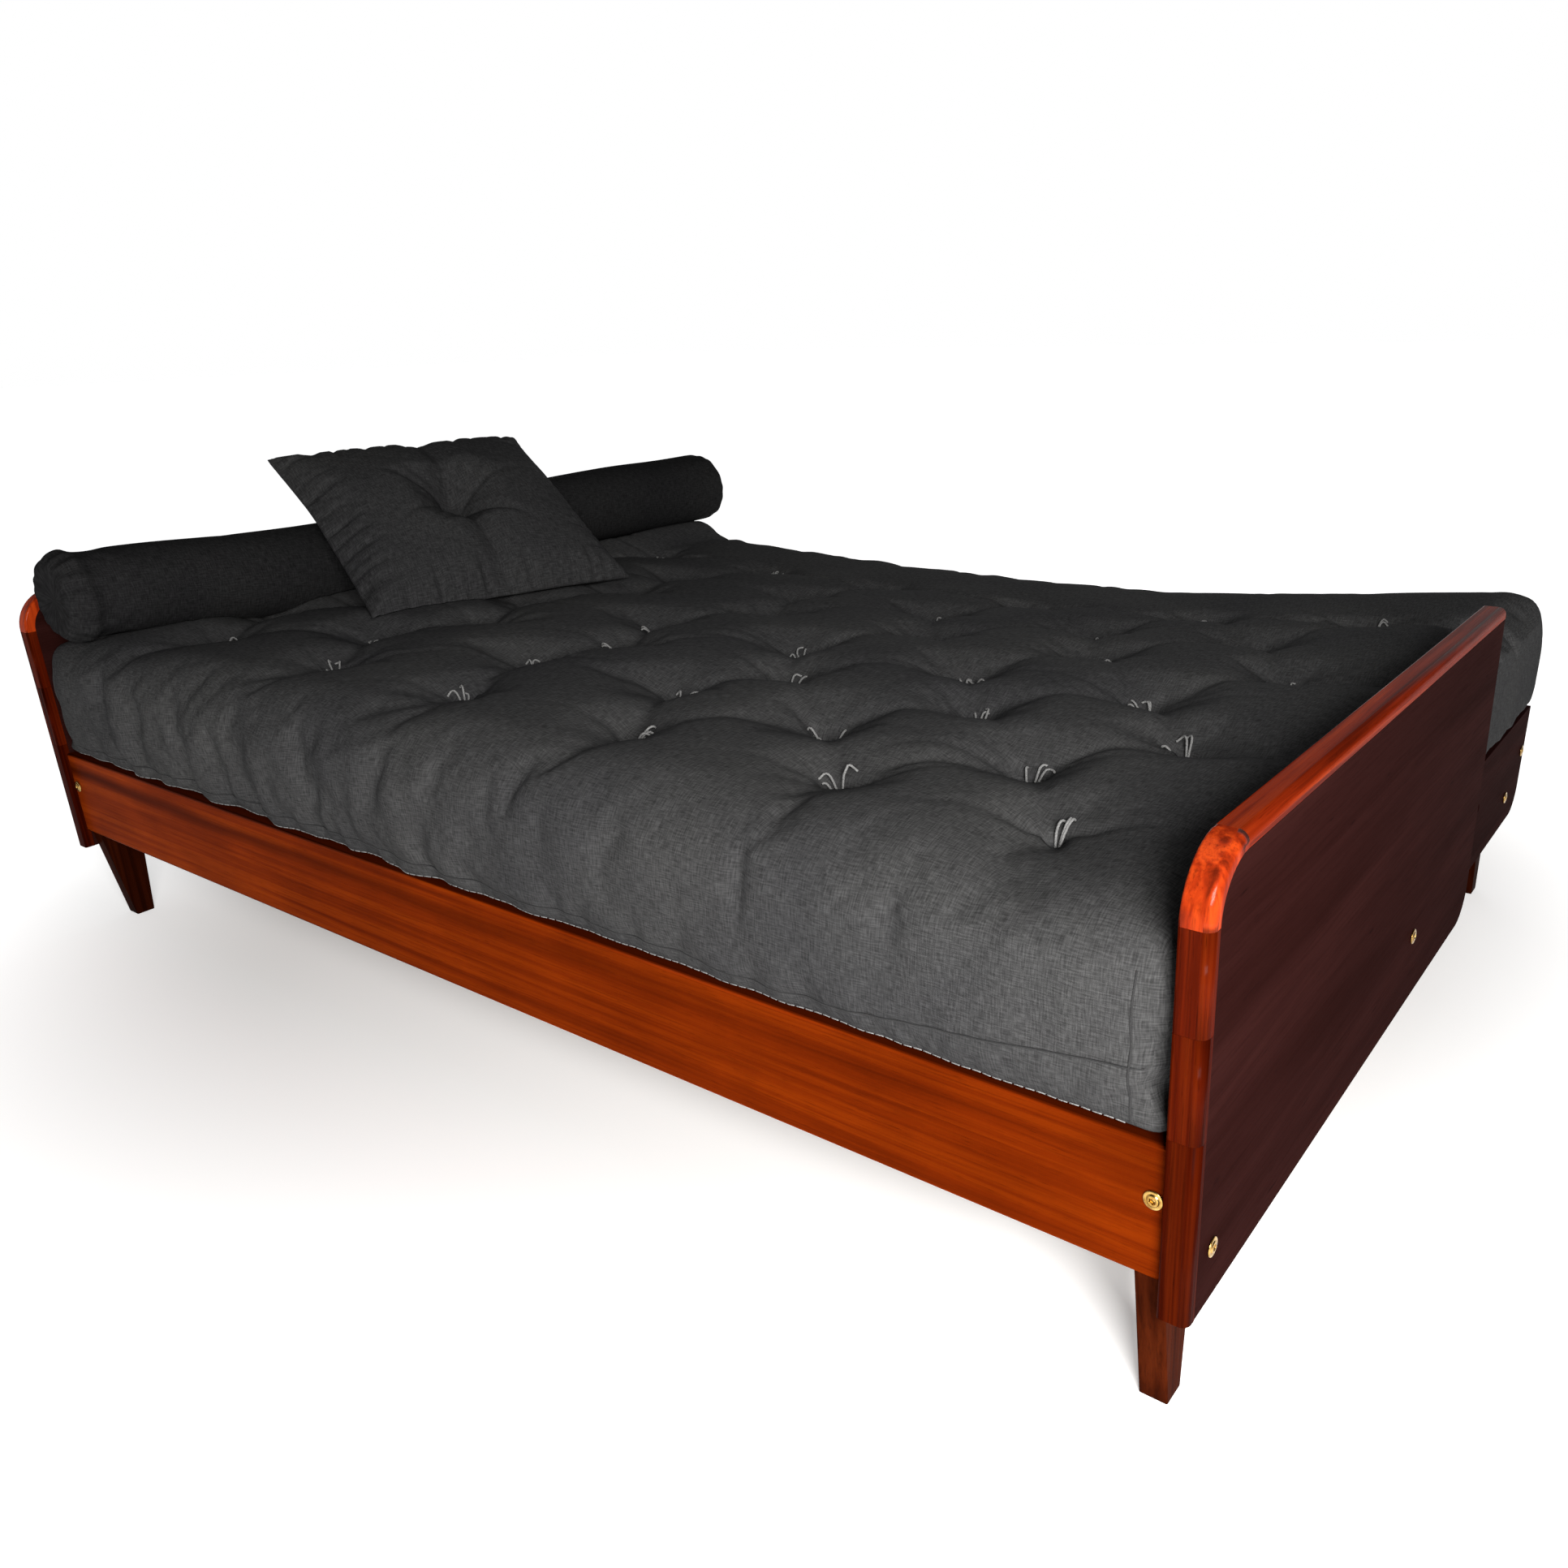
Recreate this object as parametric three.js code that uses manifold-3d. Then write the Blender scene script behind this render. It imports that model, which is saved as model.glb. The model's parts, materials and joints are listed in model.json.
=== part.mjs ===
// Extending daybed, drawn with its rear half pulled out, with its mattress, bolster and cushion.
// Millimetres, +Z up, the floor at z = 0. X runs from the head end (-) to the foot end (+), and Y
// from the front rail (-) to the pull-out rear rail (+). The origin is on the floor, mid-length and
// mid-depth.
import * as THREE from "three";
import { mergeVertices } from "three/addons/utils/BufferGeometryUtils.js";
import Module from "manifold-3d";

// Driving dimensions
const RAIL_LENGTH = 1900; // between the inner faces of the two end panels
const DEPTH = 1410; // front edge of the end panels to the rear end of the pull-out sides
const PANEL_THICKNESS = 28;
const PANEL_DEPTH = 915;
const PANEL_BOTTOM = 130;
const PANEL_TOP = 550;
const PANEL_PROUD = 10; // how far the end panels stand in front of the rail
const PANEL_CORNER = 60; // outer radius of the top front corner
const PANEL_FOOT_CORNER = 45; // radius of the bottom rear corner
const LIPPING = 14; // depth of the solid edge
const LIPPING_ROUND = 9; // outer arris of the lipping
const LIPPING_EASE = 3; // inner arris of the lipping
const DECK = 291; // top of the rails and slats
const RAIL_BOTTOM = 158;
const RAIL_THICKNESS = 20;
const RAIL_EASE = 3;
const CROSS_RAIL = { thickness: 24, bottom: 190 };
const LEDGER = { thickness: 24, height: 30 };
const SLAT = { width: 96, thickness: 16, fixed: 8, pullout: 7 };
const SLAT_FIELD = 1810; // width over all the slats
const LEG = { thickness: 28, depth: 48, foot: [9, 37], height: 270 }; // foot: from its front face
const LEG_STEP = 15; // how far a front leg steps forward under the rail
const SIDE = { thickness: 25, bottom: 122, front: -140, slant: 15, corner: 45 };
const SIDE_PLAY = 3; // between a pull-out side and its end panel
const TRAVEL = 460; // how far the rear half slides in
const SLOT_HEIGHT = 14;
const GUIDE = { y: -75, z: 219 }; // guide bolt, which is also the axis of the slot at rest
const LIPPING_JOINTS = [306, 401]; // heights of the joints in the front lipping
const GAP = 0.3; // between touching pieces
const BOLT = { head: 9, rim: 0.8, chamfer: 1.6, dome: 2.6, shaft: 3, key: 2.6, keyDepth: 2.2 };
const BORE = BOLT.shaft + GAP; // radius of the hole for a bolt
const BORE_DEPTH = { leg: 26, rail: 40 };
const SHANK = { leg: 52, guide: 88, rail: 44, rearLeg: 49, rearRail: 60 };
const RAIL_BOLT = { inset: 11, z: 237 };
const LEG_BOLT = { inset: 12, z: 186 };
const SLEEVE_RADIUS = 6;
const MATTRESS = { thickness: 180, round: 45, play: 4 };
const BOLSTER = { radius: 74, round: 20, x: -868, z: 549, from: -690, to: 705 };
const CUSHION = {
  halfThickness: 48,
  edge: 6,
  cells: 10,
  corners: [[-556, -364, 487], [-455, 92, 487], [-842, 185, 719], [-945, -268, 719]],
};

// Planes that several pieces share
const INNER = RAIL_LENGTH / 2; // inner face of an end panel
const FRONT = -DEPTH / 2;
const REAR = DEPTH / 2;
const RAIL_FRONT = FRONT + PANEL_PROUD;
const RAIL_BACK = RAIL_FRONT + RAIL_THICKNESS;
const PANEL_REAR = FRONT + PANEL_DEPTH;
const SIDE_OUTER = INNER - SIDE_PLAY;
const SIDE_INNER = SIDE_OUTER - SIDE.thickness;
const SLAT_BOTTOM = DECK - SLAT.thickness;
const REAR_RAIL = { y: 676, boltZ: 223 }; // y is the middle of its thickness
const REAR_RAIL_FRONT = REAR_RAIL.y - CROSS_RAIL.thickness / 2;
const PULLOUT_RAIL_Y = GUIDE.y - CROSS_RAIL.thickness - 4; // stops against the centre cross rail
const REAR_LEG = { y: 589, boltZ: 170 };
const MATTRESS_TOP = DECK + 0.5 + MATTRESS.thickness;

// Materials
const rubbedWood = (color) =>
  new THREE.MeshStandardMaterial({ color, roughness: 0.35, metalness: 0 });
const railWood = rubbedWood(0x8e3f17);
const lippingWood = rubbedWood(0x9c3a12);
const panelVeneer = rubbedWood(0x3f1c15);
const legWood = rubbedWood(0x5a2614);
const slatWood = new THREE.MeshStandardMaterial({ color: 0xc9a877, roughness: 0.7 });
const brass = new THREE.MeshStandardMaterial({ color: 0xc79a3e, roughness: 0.3, metalness: 1 });
const wovenCover = new THREE.MeshStandardMaterial({ color: 0x1d1d1f, roughness: 0.9 });

const wasm = await Module();
wasm.setup();

// A closed geometry as a manifold solid.
function solidOf(geometry) {
  const bare = geometry.clone();
  bare.deleteAttribute("normal");
  bare.deleteAttribute("uv");
  const merged = mergeVertices(bare, 1e-3);
  return new wasm.Manifold(
    new wasm.Mesh({
      numProp: 3,
      vertProperties: merged.attributes.position.array,
      triVerts: new Uint32Array(merged.index.array),
    }),
  );
}

// A manifold solid as a flat-shaded geometry.
function geometryOf(solid) {
  const mesh = solid.getMesh();
  const geometry = new THREE.BufferGeometry();
  geometry.setAttribute("position", new THREE.BufferAttribute(mesh.vertProperties, 3));
  geometry.setIndex(new THREE.BufferAttribute(mesh.triVerts, 1));
  geometry.computeVertexNormals();
  return geometry;
}

// What is left of a geometry once each tool has been cut from it.
function cut(geometry, ...tools) {
  const start = solidOf(geometry);
  return geometryOf(tools.reduce((left, tool) => left.subtract(solidOf(tool)), start));
}

function named(name, geometry, material) {
  const mesh = new THREE.Mesh(geometry, material);
  mesh.name = name;
  return mesh;
}

// A box between two corners.
function block(from, to) {
  const size = to.map((value, i) => value - from[i]);
  const middle = to.map((value, i) => (value + from[i]) / 2);
  return new THREE.BoxGeometry(...size).translate(...middle);
}

// An outline drawn in (y, z), thickened from x0 to x1.
function plate(outline, x0, x1) {
  const geometry = new THREE.ExtrudeGeometry(outline, {
    depth: x1 - x0,
    bevelEnabled: false,
    curveSegments: 8,
  });
  const yToX = new THREE.Matrix4().makeBasis(
    new THREE.Vector3(0, 1, 0),
    new THREE.Vector3(0, 0, 1),
    new THREE.Vector3(1, 0, 0),
  );
  return geometry.applyMatrix4(yToX).translate(x0, 0, 0);
}

// A cylinder between two points.
function rod(radius, from, to, sides = 12) {
  const start = new THREE.Vector3(...from);
  const along = new THREE.Vector3(...to).sub(start);
  const turn = new THREE.Quaternion().setFromUnitVectors(
    new THREE.Vector3(0, 1, 0),
    along.clone().normalize(),
  );
  return new THREE.CylinderGeometry(radius, radius, along.length(), sides)
    .applyQuaternion(turn)
    .translate(...start.addScaledVector(along, 0.5));
}

// The section of the solid edge: u runs from the inner to the outer face, v from the board outwards.
function lippingSection() {
  const section = new THREE.Shape();
  section.moveTo(0, 0);
  section.lineTo(PANEL_THICKNESS, 0);
  section.lineTo(PANEL_THICKNESS, LIPPING - LIPPING_ROUND);
  section.absarc(
    PANEL_THICKNESS - LIPPING_ROUND, LIPPING - LIPPING_ROUND, LIPPING_ROUND, 0, Math.PI / 2,
  );
  section.absarc(LIPPING_EASE, LIPPING - LIPPING_EASE, LIPPING_EASE, Math.PI / 2, Math.PI);
  section.closePath();
  return section;
}

// A straight length of lipping. Its section stands at the origin and it runs along +Z.
function lippingLength(length) {
  return new THREE.ExtrudeGeometry(lippingSection(), {
    depth: length,
    bevelEnabled: false,
    curveSegments: 5,
  });
}

// The curved lipping of the top front corner: a turned ring of the section, cut to a quarter.
function lippingCorner() {
  const inside = PANEL_CORNER - LIPPING;
  const profile = lippingSection()
    .getPoints(5)
    .map((point) => new THREE.Vector2(inside + point.y, point.x));
  profile.push(profile[0].clone());
  const ring = new THREE.LatheGeometry(profile.reverse(), 48).rotateZ(-Math.PI / 2);
  const reach = PANEL_CORNER + 10;
  const quarter = block([-1, -reach, 0], [PANEL_THICKNESS + 1, 0, reach]);
  return geometryOf(solidOf(ring).intersect(solidOf(quarter)));
}

// The panel's board, inside its lipping.
function panelOutline() {
  const front = FRONT + LIPPING + GAP;
  const top = PANEL_TOP - LIPPING - GAP;
  const bend = PANEL_CORNER - LIPPING - GAP;
  const foot = PANEL_FOOT_CORNER;
  const outline = new THREE.Shape();
  outline.moveTo(front, PANEL_BOTTOM);
  outline.lineTo(PANEL_REAR - foot, PANEL_BOTTOM);
  outline.absarc(PANEL_REAR - foot, PANEL_BOTTOM + foot, foot, -Math.PI / 2, 0);
  outline.lineTo(PANEL_REAR, top);
  outline.absarc(front + bend, top - bend, bend, Math.PI / 2, Math.PI);
  outline.closePath();
  return outline;
}

// The front rail's section, with eased front corners, drawn in (y, z).
function railOutline() {
  const outline = new THREE.Shape();
  outline.moveTo(RAIL_BACK, RAIL_BOTTOM);
  outline.lineTo(RAIL_BACK, DECK);
  outline.absarc(RAIL_FRONT + RAIL_EASE, DECK - RAIL_EASE, RAIL_EASE, Math.PI / 2, Math.PI);
  outline.absarc(
    RAIL_FRONT + RAIL_EASE, RAIL_BOTTOM + RAIL_EASE, RAIL_EASE, Math.PI, 1.5 * Math.PI,
  );
  outline.closePath();
  return outline;
}

// A pull-out side: a low board with a slanted rear end and a rounded bottom corner.
function sideOutline() {
  const low = REAR - SIDE.slant;
  const outline = new THREE.Shape();
  outline.moveTo(SIDE.front, SIDE.bottom);
  outline.lineTo(low - SIDE.corner, SIDE.bottom);
  outline.absarc(low - SIDE.corner, SIDE.bottom + SIDE.corner, SIDE.corner, -Math.PI / 2, 0);
  outline.lineTo(REAR, DECK);
  outline.lineTo(SIDE.front, DECK);
  outline.closePath();
  return outline;
}

// The guide slot, wide enough for the sleeve over the whole travel, drawn in (y, z).
function slotOutline() {
  const half = SLOT_HEIGHT / 2;
  const outline = new THREE.Shape();
  outline.absarc(GUIDE.y, GUIDE.z, half, Math.PI / 2, 1.5 * Math.PI);
  outline.absarc(GUIDE.y + TRAVEL, GUIDE.z, half, -Math.PI / 2, Math.PI / 2);
  outline.closePath();
  return outline;
}

// A leg seen from the side, as y and z. From its tapering face it goes inwards along y, which is
// +1 or -1. Below the rail it steps out, and then tapers to the floor.
function legOutline(face, inwards, step) {
  const y = (distance) => face + inwards * distance;
  const shoulder = RAIL_BOTTOM - GAP;
  const points = [
    [y(0), LEG.height],
    [y(0), shoulder],
    [y(-step), shoulder],
    [y(LEG.foot[0]), 0],
    [y(LEG.foot[1]), 0],
    [y(LEG.depth), shoulder],
    [y(LEG.depth), LEG.height],
  ];
  if (step === 0) points.splice(2, 1);
  return new THREE.Shape(points.map(([a, b]) => new THREE.Vector2(a, b)));
}

// A leg whose outer side is at x.
function leg(x, ...outline) {
  return plate(legOutline(...outline), x - LEG.thickness, x);
}

// A furniture bolt along +Z: a domed head with a six-sided key hole, and a shank.
function bolt(shank) {
  const profile = [
    [0, shank],
    [BOLT.shaft, shank],
    [BOLT.shaft, 0],
    [BOLT.head, 0],
    [BOLT.head, -BOLT.rim],
    [BOLT.head - BOLT.chamfer, -BOLT.rim - 1.1],
    [BOLT.key + 2, -BOLT.dome],
    [0, -BOLT.dome],
  ].map(([radius, height]) => new THREE.Vector2(radius, height));
  const body = new THREE.LatheGeometry(profile.reverse(), 16).rotateX(Math.PI / 2);
  const key = new THREE.CylinderGeometry(BOLT.key, BOLT.key, 2 * BOLT.keyDepth, 6)
    .rotateX(Math.PI / 2)
    .translate(0, 0, -BOLT.dome);
  return cut(body, key);
}

// A bolt whose head bears on the point at, and whose shank runs in the direction along.
function placedBolt(name, at, along, shank) {
  const mesh = named(name, bolt(shank), brass);
  const direction = new THREE.Vector3(...along);
  mesh.quaternion.setFromUnitVectors(new THREE.Vector3(0, 0, 1), direction);
  mesh.position.set(...at).addScaledVector(direction, -GAP);
  return mesh;
}

// One end of the bed, drawn at +X and mirrored for the head end.
function endPanel(end, sign) {
  const group = new THREE.Group();
  group.scale.x = sign;
  const outer = INNER + PANEL_THICKNESS;
  const legY = RAIL_BACK + GAP;
  const legBolt = [legY + LEG_BOLT.inset, LEG_BOLT.z];
  const guide = [GUIDE.y, GUIDE.z];
  const railBoltX = INNER - RAIL_BOLT.inset;

  const panelBores = [legBolt, guide].map((place) =>
    rod(BORE, [INNER - 1, ...place], [outer + 1, ...place]),
  );
  const board = cut(plate(panelOutline(), INNER, outer), ...panelBores);
  group.add(named(`${end}_panel_board`, board, panelVeneer));

  // The front lipping is in three lengths below the curved corner.
  const seams = [PANEL_BOTTOM, ...LIPPING_JOINTS, PANEL_TOP - PANEL_CORNER];
  ["lower", "middle", "upper"].forEach((part, i) => {
    const length = seams[i + 1] - seams[i] - GAP;
    const strip = named(`${end}_front_lipping_${part}`, lippingLength(length), lippingWood);
    strip.rotation.x = Math.PI;
    strip.position.set(INNER, FRONT + LIPPING, seams[i] + length);
    group.add(strip);
  });

  const corner = named(`${end}_corner_lipping`, lippingCorner(), lippingWood);
  corner.position.set(INNER, FRONT + PANEL_CORNER, PANEL_TOP - PANEL_CORNER);
  group.add(corner);

  const topStart = FRONT + PANEL_CORNER + GAP;
  const top = named(`${end}_top_lipping`, lippingLength(PANEL_REAR - topStart), lippingWood);
  top.rotation.x = Math.PI / 2;
  top.position.set(INNER, PANEL_REAR, PANEL_TOP - LIPPING);
  group.add(top);

  const legBores = [
    rod(
      BORE,
      [railBoltX, legY - 1, RAIL_BOLT.z],
      [railBoltX, legY + BORE_DEPTH.leg, RAIL_BOLT.z],
    ),
    rod(BORE, [INNER + 1, ...legBolt], [INNER - BORE_DEPTH.leg, ...legBolt]),
  ];
  const post = cut(leg(INNER - GAP, legY, 1, LEG_STEP), ...legBores);
  group.add(named(`${end}_front_leg`, post, legWood));

  const inwards = [-1, 0, 0];
  const railBoltHead = [railBoltX, RAIL_FRONT, RAIL_BOLT.z];
  group.add(placedBolt(`${end}_leg_bolt`, [outer, ...legBolt], inwards, SHANK.leg));
  group.add(placedBolt(`${end}_guide_bolt`, [outer, ...guide], inwards, SHANK.guide));
  group.add(placedBolt(`${end}_rail_bolt`, railBoltHead, [0, 1, 0], SHANK.rail));

  const sleeve = cut(
    rod(SLEEVE_RADIUS, [SIDE_INNER + 1, ...guide], [INNER - GAP, ...guide]),
    rod(BORE, [SIDE_INNER - 1, ...guide], [outer, ...guide]),
  );
  group.add(named(`${end}_guide_sleeve`, sleeve, brass));
  return group;
}

// The front rail, drilled for its two bolts.
function frontRail() {
  const bores = [-1, 1].map((sign) => {
    const x = sign * (INNER - RAIL_BOLT.inset);
    return rod(BORE, [x, RAIL_FRONT - 1, RAIL_BOLT.z], [x, RAIL_BACK + 1, RAIL_BOLT.z]);
  });
  const rail = plate(railOutline(), -INNER + GAP, INNER - GAP);
  return named("front_rail", cut(rail, ...bores), railWood);
}

// A rail from side to side between x = -reach and reach, with its middle at y.
function crossRail(reach, y, bottom, top) {
  const half = CROSS_RAIL.thickness / 2;
  return block([-reach, y - half, bottom], [reach, y + half, top]);
}

// A bolt hole in each end of such a rail.
function endBores(reach, y, z) {
  return [-1, 1].map((sign) =>
    rod(BORE, [sign * (reach + 1), y, z], [sign * (reach - BORE_DEPTH.rail), y, z]),
  );
}

// The middle of slat number index, counted from the head end over both sets.
function slatX(index) {
  const pitch = (SLAT_FIELD - SLAT.width) / (SLAT.fixed + SLAT.pullout - 1);
  return -SLAT_FIELD / 2 + SLAT.width / 2 + index * pitch;
}

// Slats of one set, which lie between those of the other.
function slats(name, count, first, y0, y1) {
  return Array.from({ length: count }, (_, i) => {
    const x = slatX(first + 2 * i);
    const half = SLAT.width / 2;
    const slat = block([x - half, y0, SLAT_BOTTOM], [x + half, y1, DECK]);
    return named(`${name}_${i + 1}`, slat, slatWood);
  });
}

// The part of the bed that stays put.
function mainFrame() {
  const group = new THREE.Group();
  group.add(endPanel("foot", 1), endPanel("head", -1), frontRail());
  const reach = SIDE_INNER - 1;
  const top = SLAT_BOTTOM - GAP;
  const centre = crossRail(reach, GUIDE.y, CROSS_RAIL.bottom, top);
  const drilled = cut(centre, ...endBores(reach, GUIDE.y, GUIDE.z));
  group.add(named("centre_cross_rail", drilled, slatWood));
  const ledgerEnd = INNER - LEG.thickness - 1;
  const ledgerY = RAIL_BACK + GAP;
  const ledger = block(
    [-ledgerEnd, ledgerY, top - LEDGER.height],
    [ledgerEnd, ledgerY + LEDGER.thickness, top],
  );
  group.add(named("front_ledger", ledger, slatWood));
  group.add(...slats("fixed_slat", SLAT.fixed, 0, RAIL_BACK + GAP, PANEL_REAR - 20));
  return group;
}

// One side of the pull-out half, drawn at +X and mirrored for the head end.
function pulloutSide(end, sign) {
  const group = new THREE.Group();
  group.scale.x = sign;
  const bolts = {
    rail: [REAR_RAIL.y, REAR_RAIL.boltZ],
    leg: [REAR_LEG.y, REAR_LEG.boltZ],
  };
  const bores = Object.values(bolts).map((place) =>
    rod(BORE, [SIDE_INNER - 1, ...place], [SIDE_OUTER + 1, ...place]),
  );
  const slot = plate(slotOutline(), SIDE_INNER - 1, SIDE_OUTER + 1);
  const board = cut(plate(sideOutline(), SIDE_INNER, SIDE_OUTER), slot, ...bores);
  group.add(named(`${end}_pullout_side`, board, panelVeneer));

  const rearLeg = leg(SIDE_INNER - GAP, REAR_LEG.y + LEG.depth / 2, -1, 0);
  const legBore = rod(
    BORE,
    [SIDE_INNER + 1, ...bolts.leg],
    [SIDE_INNER - BORE_DEPTH.leg, ...bolts.leg],
  );
  group.add(named(`${end}_rear_leg`, cut(rearLeg, legBore), legWood));

  const inwards = [-1, 0, 0];
  const legHead = [SIDE_OUTER, ...bolts.leg];
  const railHead = [SIDE_OUTER, ...bolts.rail];
  group.add(placedBolt(`${end}_rear_leg_bolt`, legHead, inwards, SHANK.rearLeg));
  group.add(placedBolt(`${end}_rear_rail_bolt`, railHead, inwards, SHANK.rearRail));
  return group;
}

// The half that slides out to the rear.
function pulloutFrame() {
  const group = new THREE.Group();
  group.add(pulloutSide("foot", 1), pulloutSide("head", -1));
  const reach = SIDE_INNER - GAP;
  const top = SLAT_BOTTOM - GAP;
  const rear = crossRail(reach, REAR_RAIL.y, RAIL_BOTTOM, DECK);
  const drilled = cut(rear, ...endBores(reach, REAR_RAIL.y, REAR_RAIL.boltZ));
  group.add(named("rear_rail", drilled, slatWood));
  const front = crossRail(reach, PULLOUT_RAIL_Y, CROSS_RAIL.bottom, top);
  group.add(named("pullout_front_rail", front, slatWood));
  const ledgerBack = REAR_RAIL_FRONT - GAP;
  const ledger = block(
    [-reach, ledgerBack - LEDGER.thickness, top - LEDGER.height],
    [reach, ledgerBack, top],
  );
  group.add(named("rear_ledger", ledger, slatWood));
  const slatFront = PULLOUT_RAIL_Y - CROSS_RAIL.thickness / 2;
  group.add(...slats("pullout_slat", SLAT.pullout, 1, slatFront, ledgerBack));
  return group;
}

// The futon: a slab with rounded edges.
function mattress() {
  const round = MATTRESS.round;
  const inset = MATTRESS.play + round;
  const halfX = INNER - inset;
  const [y0, y1] = [RAIL_FRONT + inset, REAR - inset];
  const outline = new THREE.Shape();
  outline.moveTo(-halfX, y0);
  outline.lineTo(halfX, y0);
  outline.lineTo(halfX, y1);
  outline.lineTo(-halfX, y1);
  outline.closePath();
  const slab = new THREE.ExtrudeGeometry(outline, {
    depth: MATTRESS.thickness - 2 * round,
    bevelSize: round,
    bevelThickness: round,
    bevelSegments: 3,
  });
  slab.translate(0, 0, MATTRESS_TOP - MATTRESS.thickness + round);
  return named("mattress", slab, wovenCover);
}

// The bolster, lying along the head end.
function bolster() {
  const { radius, round, x, z, from, to } = BOLSTER;
  const length = to - from;
  const profile = new THREE.Path();
  profile.moveTo(0, 0);
  profile.lineTo(radius - round, 0);
  profile.absarc(radius - round, round, round, -Math.PI / 2, 0);
  profile.absarc(radius - round, length - round, round, 0, Math.PI / 2);
  profile.lineTo(0, length);
  const turned = geometryOf(solidOf(new THREE.LatheGeometry(profile.getPoints(3), 20)));
  const roll = named("bolster", turned, wovenCover);
  roll.position.set(x, from, z);
  return roll;
}

// The cushion: a lens between four corners, leaning back on the bolster.
function cushion() {
  const { halfThickness, edge, cells, corners } = CUSHION;
  const [bl, br, tr, tl] = corners.map((corner) => new THREE.Vector3(...corner));
  const facing = tr.clone().sub(bl).cross(tl.clone().sub(br)).normalize();
  const geometry = new THREE.BoxGeometry(2, 2, 2, cells, cells, 1);
  const position = geometry.attributes.position;
  for (let i = 0; i < position.count; i++) {
    const [s, t] = [position.getX(i), position.getY(i)];
    const low = bl.clone().lerp(br, (1 + s) / 2);
    const high = tl.clone().lerp(tr, (1 + s) / 2);
    const fullness = ((1 - s * s) * (1 - t * t)) ** 0.6;
    const half = edge + (halfThickness - edge) * fullness;
    const point = low.lerp(high, (1 + t) / 2).addScaledVector(facing, position.getZ(i) * half);
    position.setXYZ(i, point.x, point.y, point.z);
  }
  return named("cushion", geometry, wovenCover);
}

const daybed = new THREE.Group();
daybed.add(mainFrame(), pulloutFrame(), mattress(), bolster(), cushion());

export default daybed;
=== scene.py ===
"""The looks of an extending daybed: lacquered wood, brass bolts, a tufted futon, a bolster and a cushion.

Metres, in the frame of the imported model: +X to the foot end, +Y to the rear, +Z up, the floor at z = 0.
"""

import json
import math
import random

import bmesh
import bpy
import numpy as np
from mathutils import Euler, Matrix, Vector, noise
from mathutils.bvhtree import BVHTree

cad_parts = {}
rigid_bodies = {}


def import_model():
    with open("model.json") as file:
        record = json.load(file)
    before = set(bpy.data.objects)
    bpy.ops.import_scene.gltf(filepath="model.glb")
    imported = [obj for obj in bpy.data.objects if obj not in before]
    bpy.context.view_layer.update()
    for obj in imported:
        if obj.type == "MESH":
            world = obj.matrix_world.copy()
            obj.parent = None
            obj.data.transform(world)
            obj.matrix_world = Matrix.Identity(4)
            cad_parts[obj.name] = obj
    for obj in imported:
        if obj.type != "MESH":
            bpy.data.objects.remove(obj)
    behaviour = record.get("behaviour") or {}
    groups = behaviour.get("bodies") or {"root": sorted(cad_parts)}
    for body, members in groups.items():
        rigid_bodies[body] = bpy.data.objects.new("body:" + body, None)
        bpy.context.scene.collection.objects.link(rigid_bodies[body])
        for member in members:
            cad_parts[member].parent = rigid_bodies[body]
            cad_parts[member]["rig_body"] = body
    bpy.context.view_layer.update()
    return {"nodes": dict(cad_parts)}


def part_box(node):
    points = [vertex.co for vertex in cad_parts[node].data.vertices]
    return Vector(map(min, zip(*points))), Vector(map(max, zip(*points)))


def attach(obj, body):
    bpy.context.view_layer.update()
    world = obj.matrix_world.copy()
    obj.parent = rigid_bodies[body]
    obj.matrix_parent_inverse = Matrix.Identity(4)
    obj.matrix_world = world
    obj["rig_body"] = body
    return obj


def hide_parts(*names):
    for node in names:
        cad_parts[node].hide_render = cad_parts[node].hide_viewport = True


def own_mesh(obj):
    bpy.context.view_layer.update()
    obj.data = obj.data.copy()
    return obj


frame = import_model()

# Camera, off the front foot corner
CAMERA_PLACE = (1.2786, -1.4962, 0.9106)
CAMERA_TURN = (68.944, 1.655, 35.453)  # degrees about X, Y and Z
CAMERA_LENS = 29.35  # mm on a 36 mm sensor
CAMERA_SHIFT = (-0.072, 0.0142)

# The studio has a low white wall on one side, and is dim above it and all round the rest
BRIGHT_SIDE = (-0.866, 0.5, 0.0)
WALL_EDGE = (0.25, 0.48)  # where it fades out sideways: cosines of the angle from its middle
WALL_TOP = (0.26, 0.40)  # and where upwards: sines of the angle above the horizon
DIM_LEVEL = 0.05
FLOOR_FADE = (0.8, 1.7)  # distances over which the floor turns from its near glow to its far one
FLOOR_GLOW = (0.20, 0.95)

# The futon
CELL = 0.0125  # grid of the futon before subdivision
TOP_ROUND = 0.078  # radius of its upper edges
SIDE_ROUND = 0.024  # radius of its upright corners
FOOT_ROUND = 0.016  # height of the rounding of its lower edges
FOOT_INSET = 0.007  # and how far in that goes, which closes the gap behind the rail
EVEN_ROWS = (-0.698, -0.405, -0.108, 0.205, 0.498, 0.768)  # x of the tufts in rows 1, 3, 5 and 7
ODD_ROWS = (-0.775, -0.490, -0.165, 0.125, 0.395, 0.650)  # x of those in rows 2, 4 and 6
ROW_Y = (-0.535, -0.392, -0.262, -0.122, 0.055, 0.235, 0.415)
TUFT_BOWL = 0.011  # depth of the wide hollow round each tuft
TUFT_PIT = 0.004  # depth of the narrow pit within it
CROWN = 0.010  # how far its middle stands above its edges
REAR_SAG = 0.058  # how far its rear edge sags in the middle
VALLEY = 0.0030  # depth of the valleys between tufts, and how much deeper they end
VALLEY_ENDS = 0.006
CREASE_DEPTH = 0.0062
LONG_CREASE = (0.045, 0.080)  # shortest and longest, for the two sideways from each tuft
SHORT_CREASE = (0.018, 0.040)  # and for the others
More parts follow.
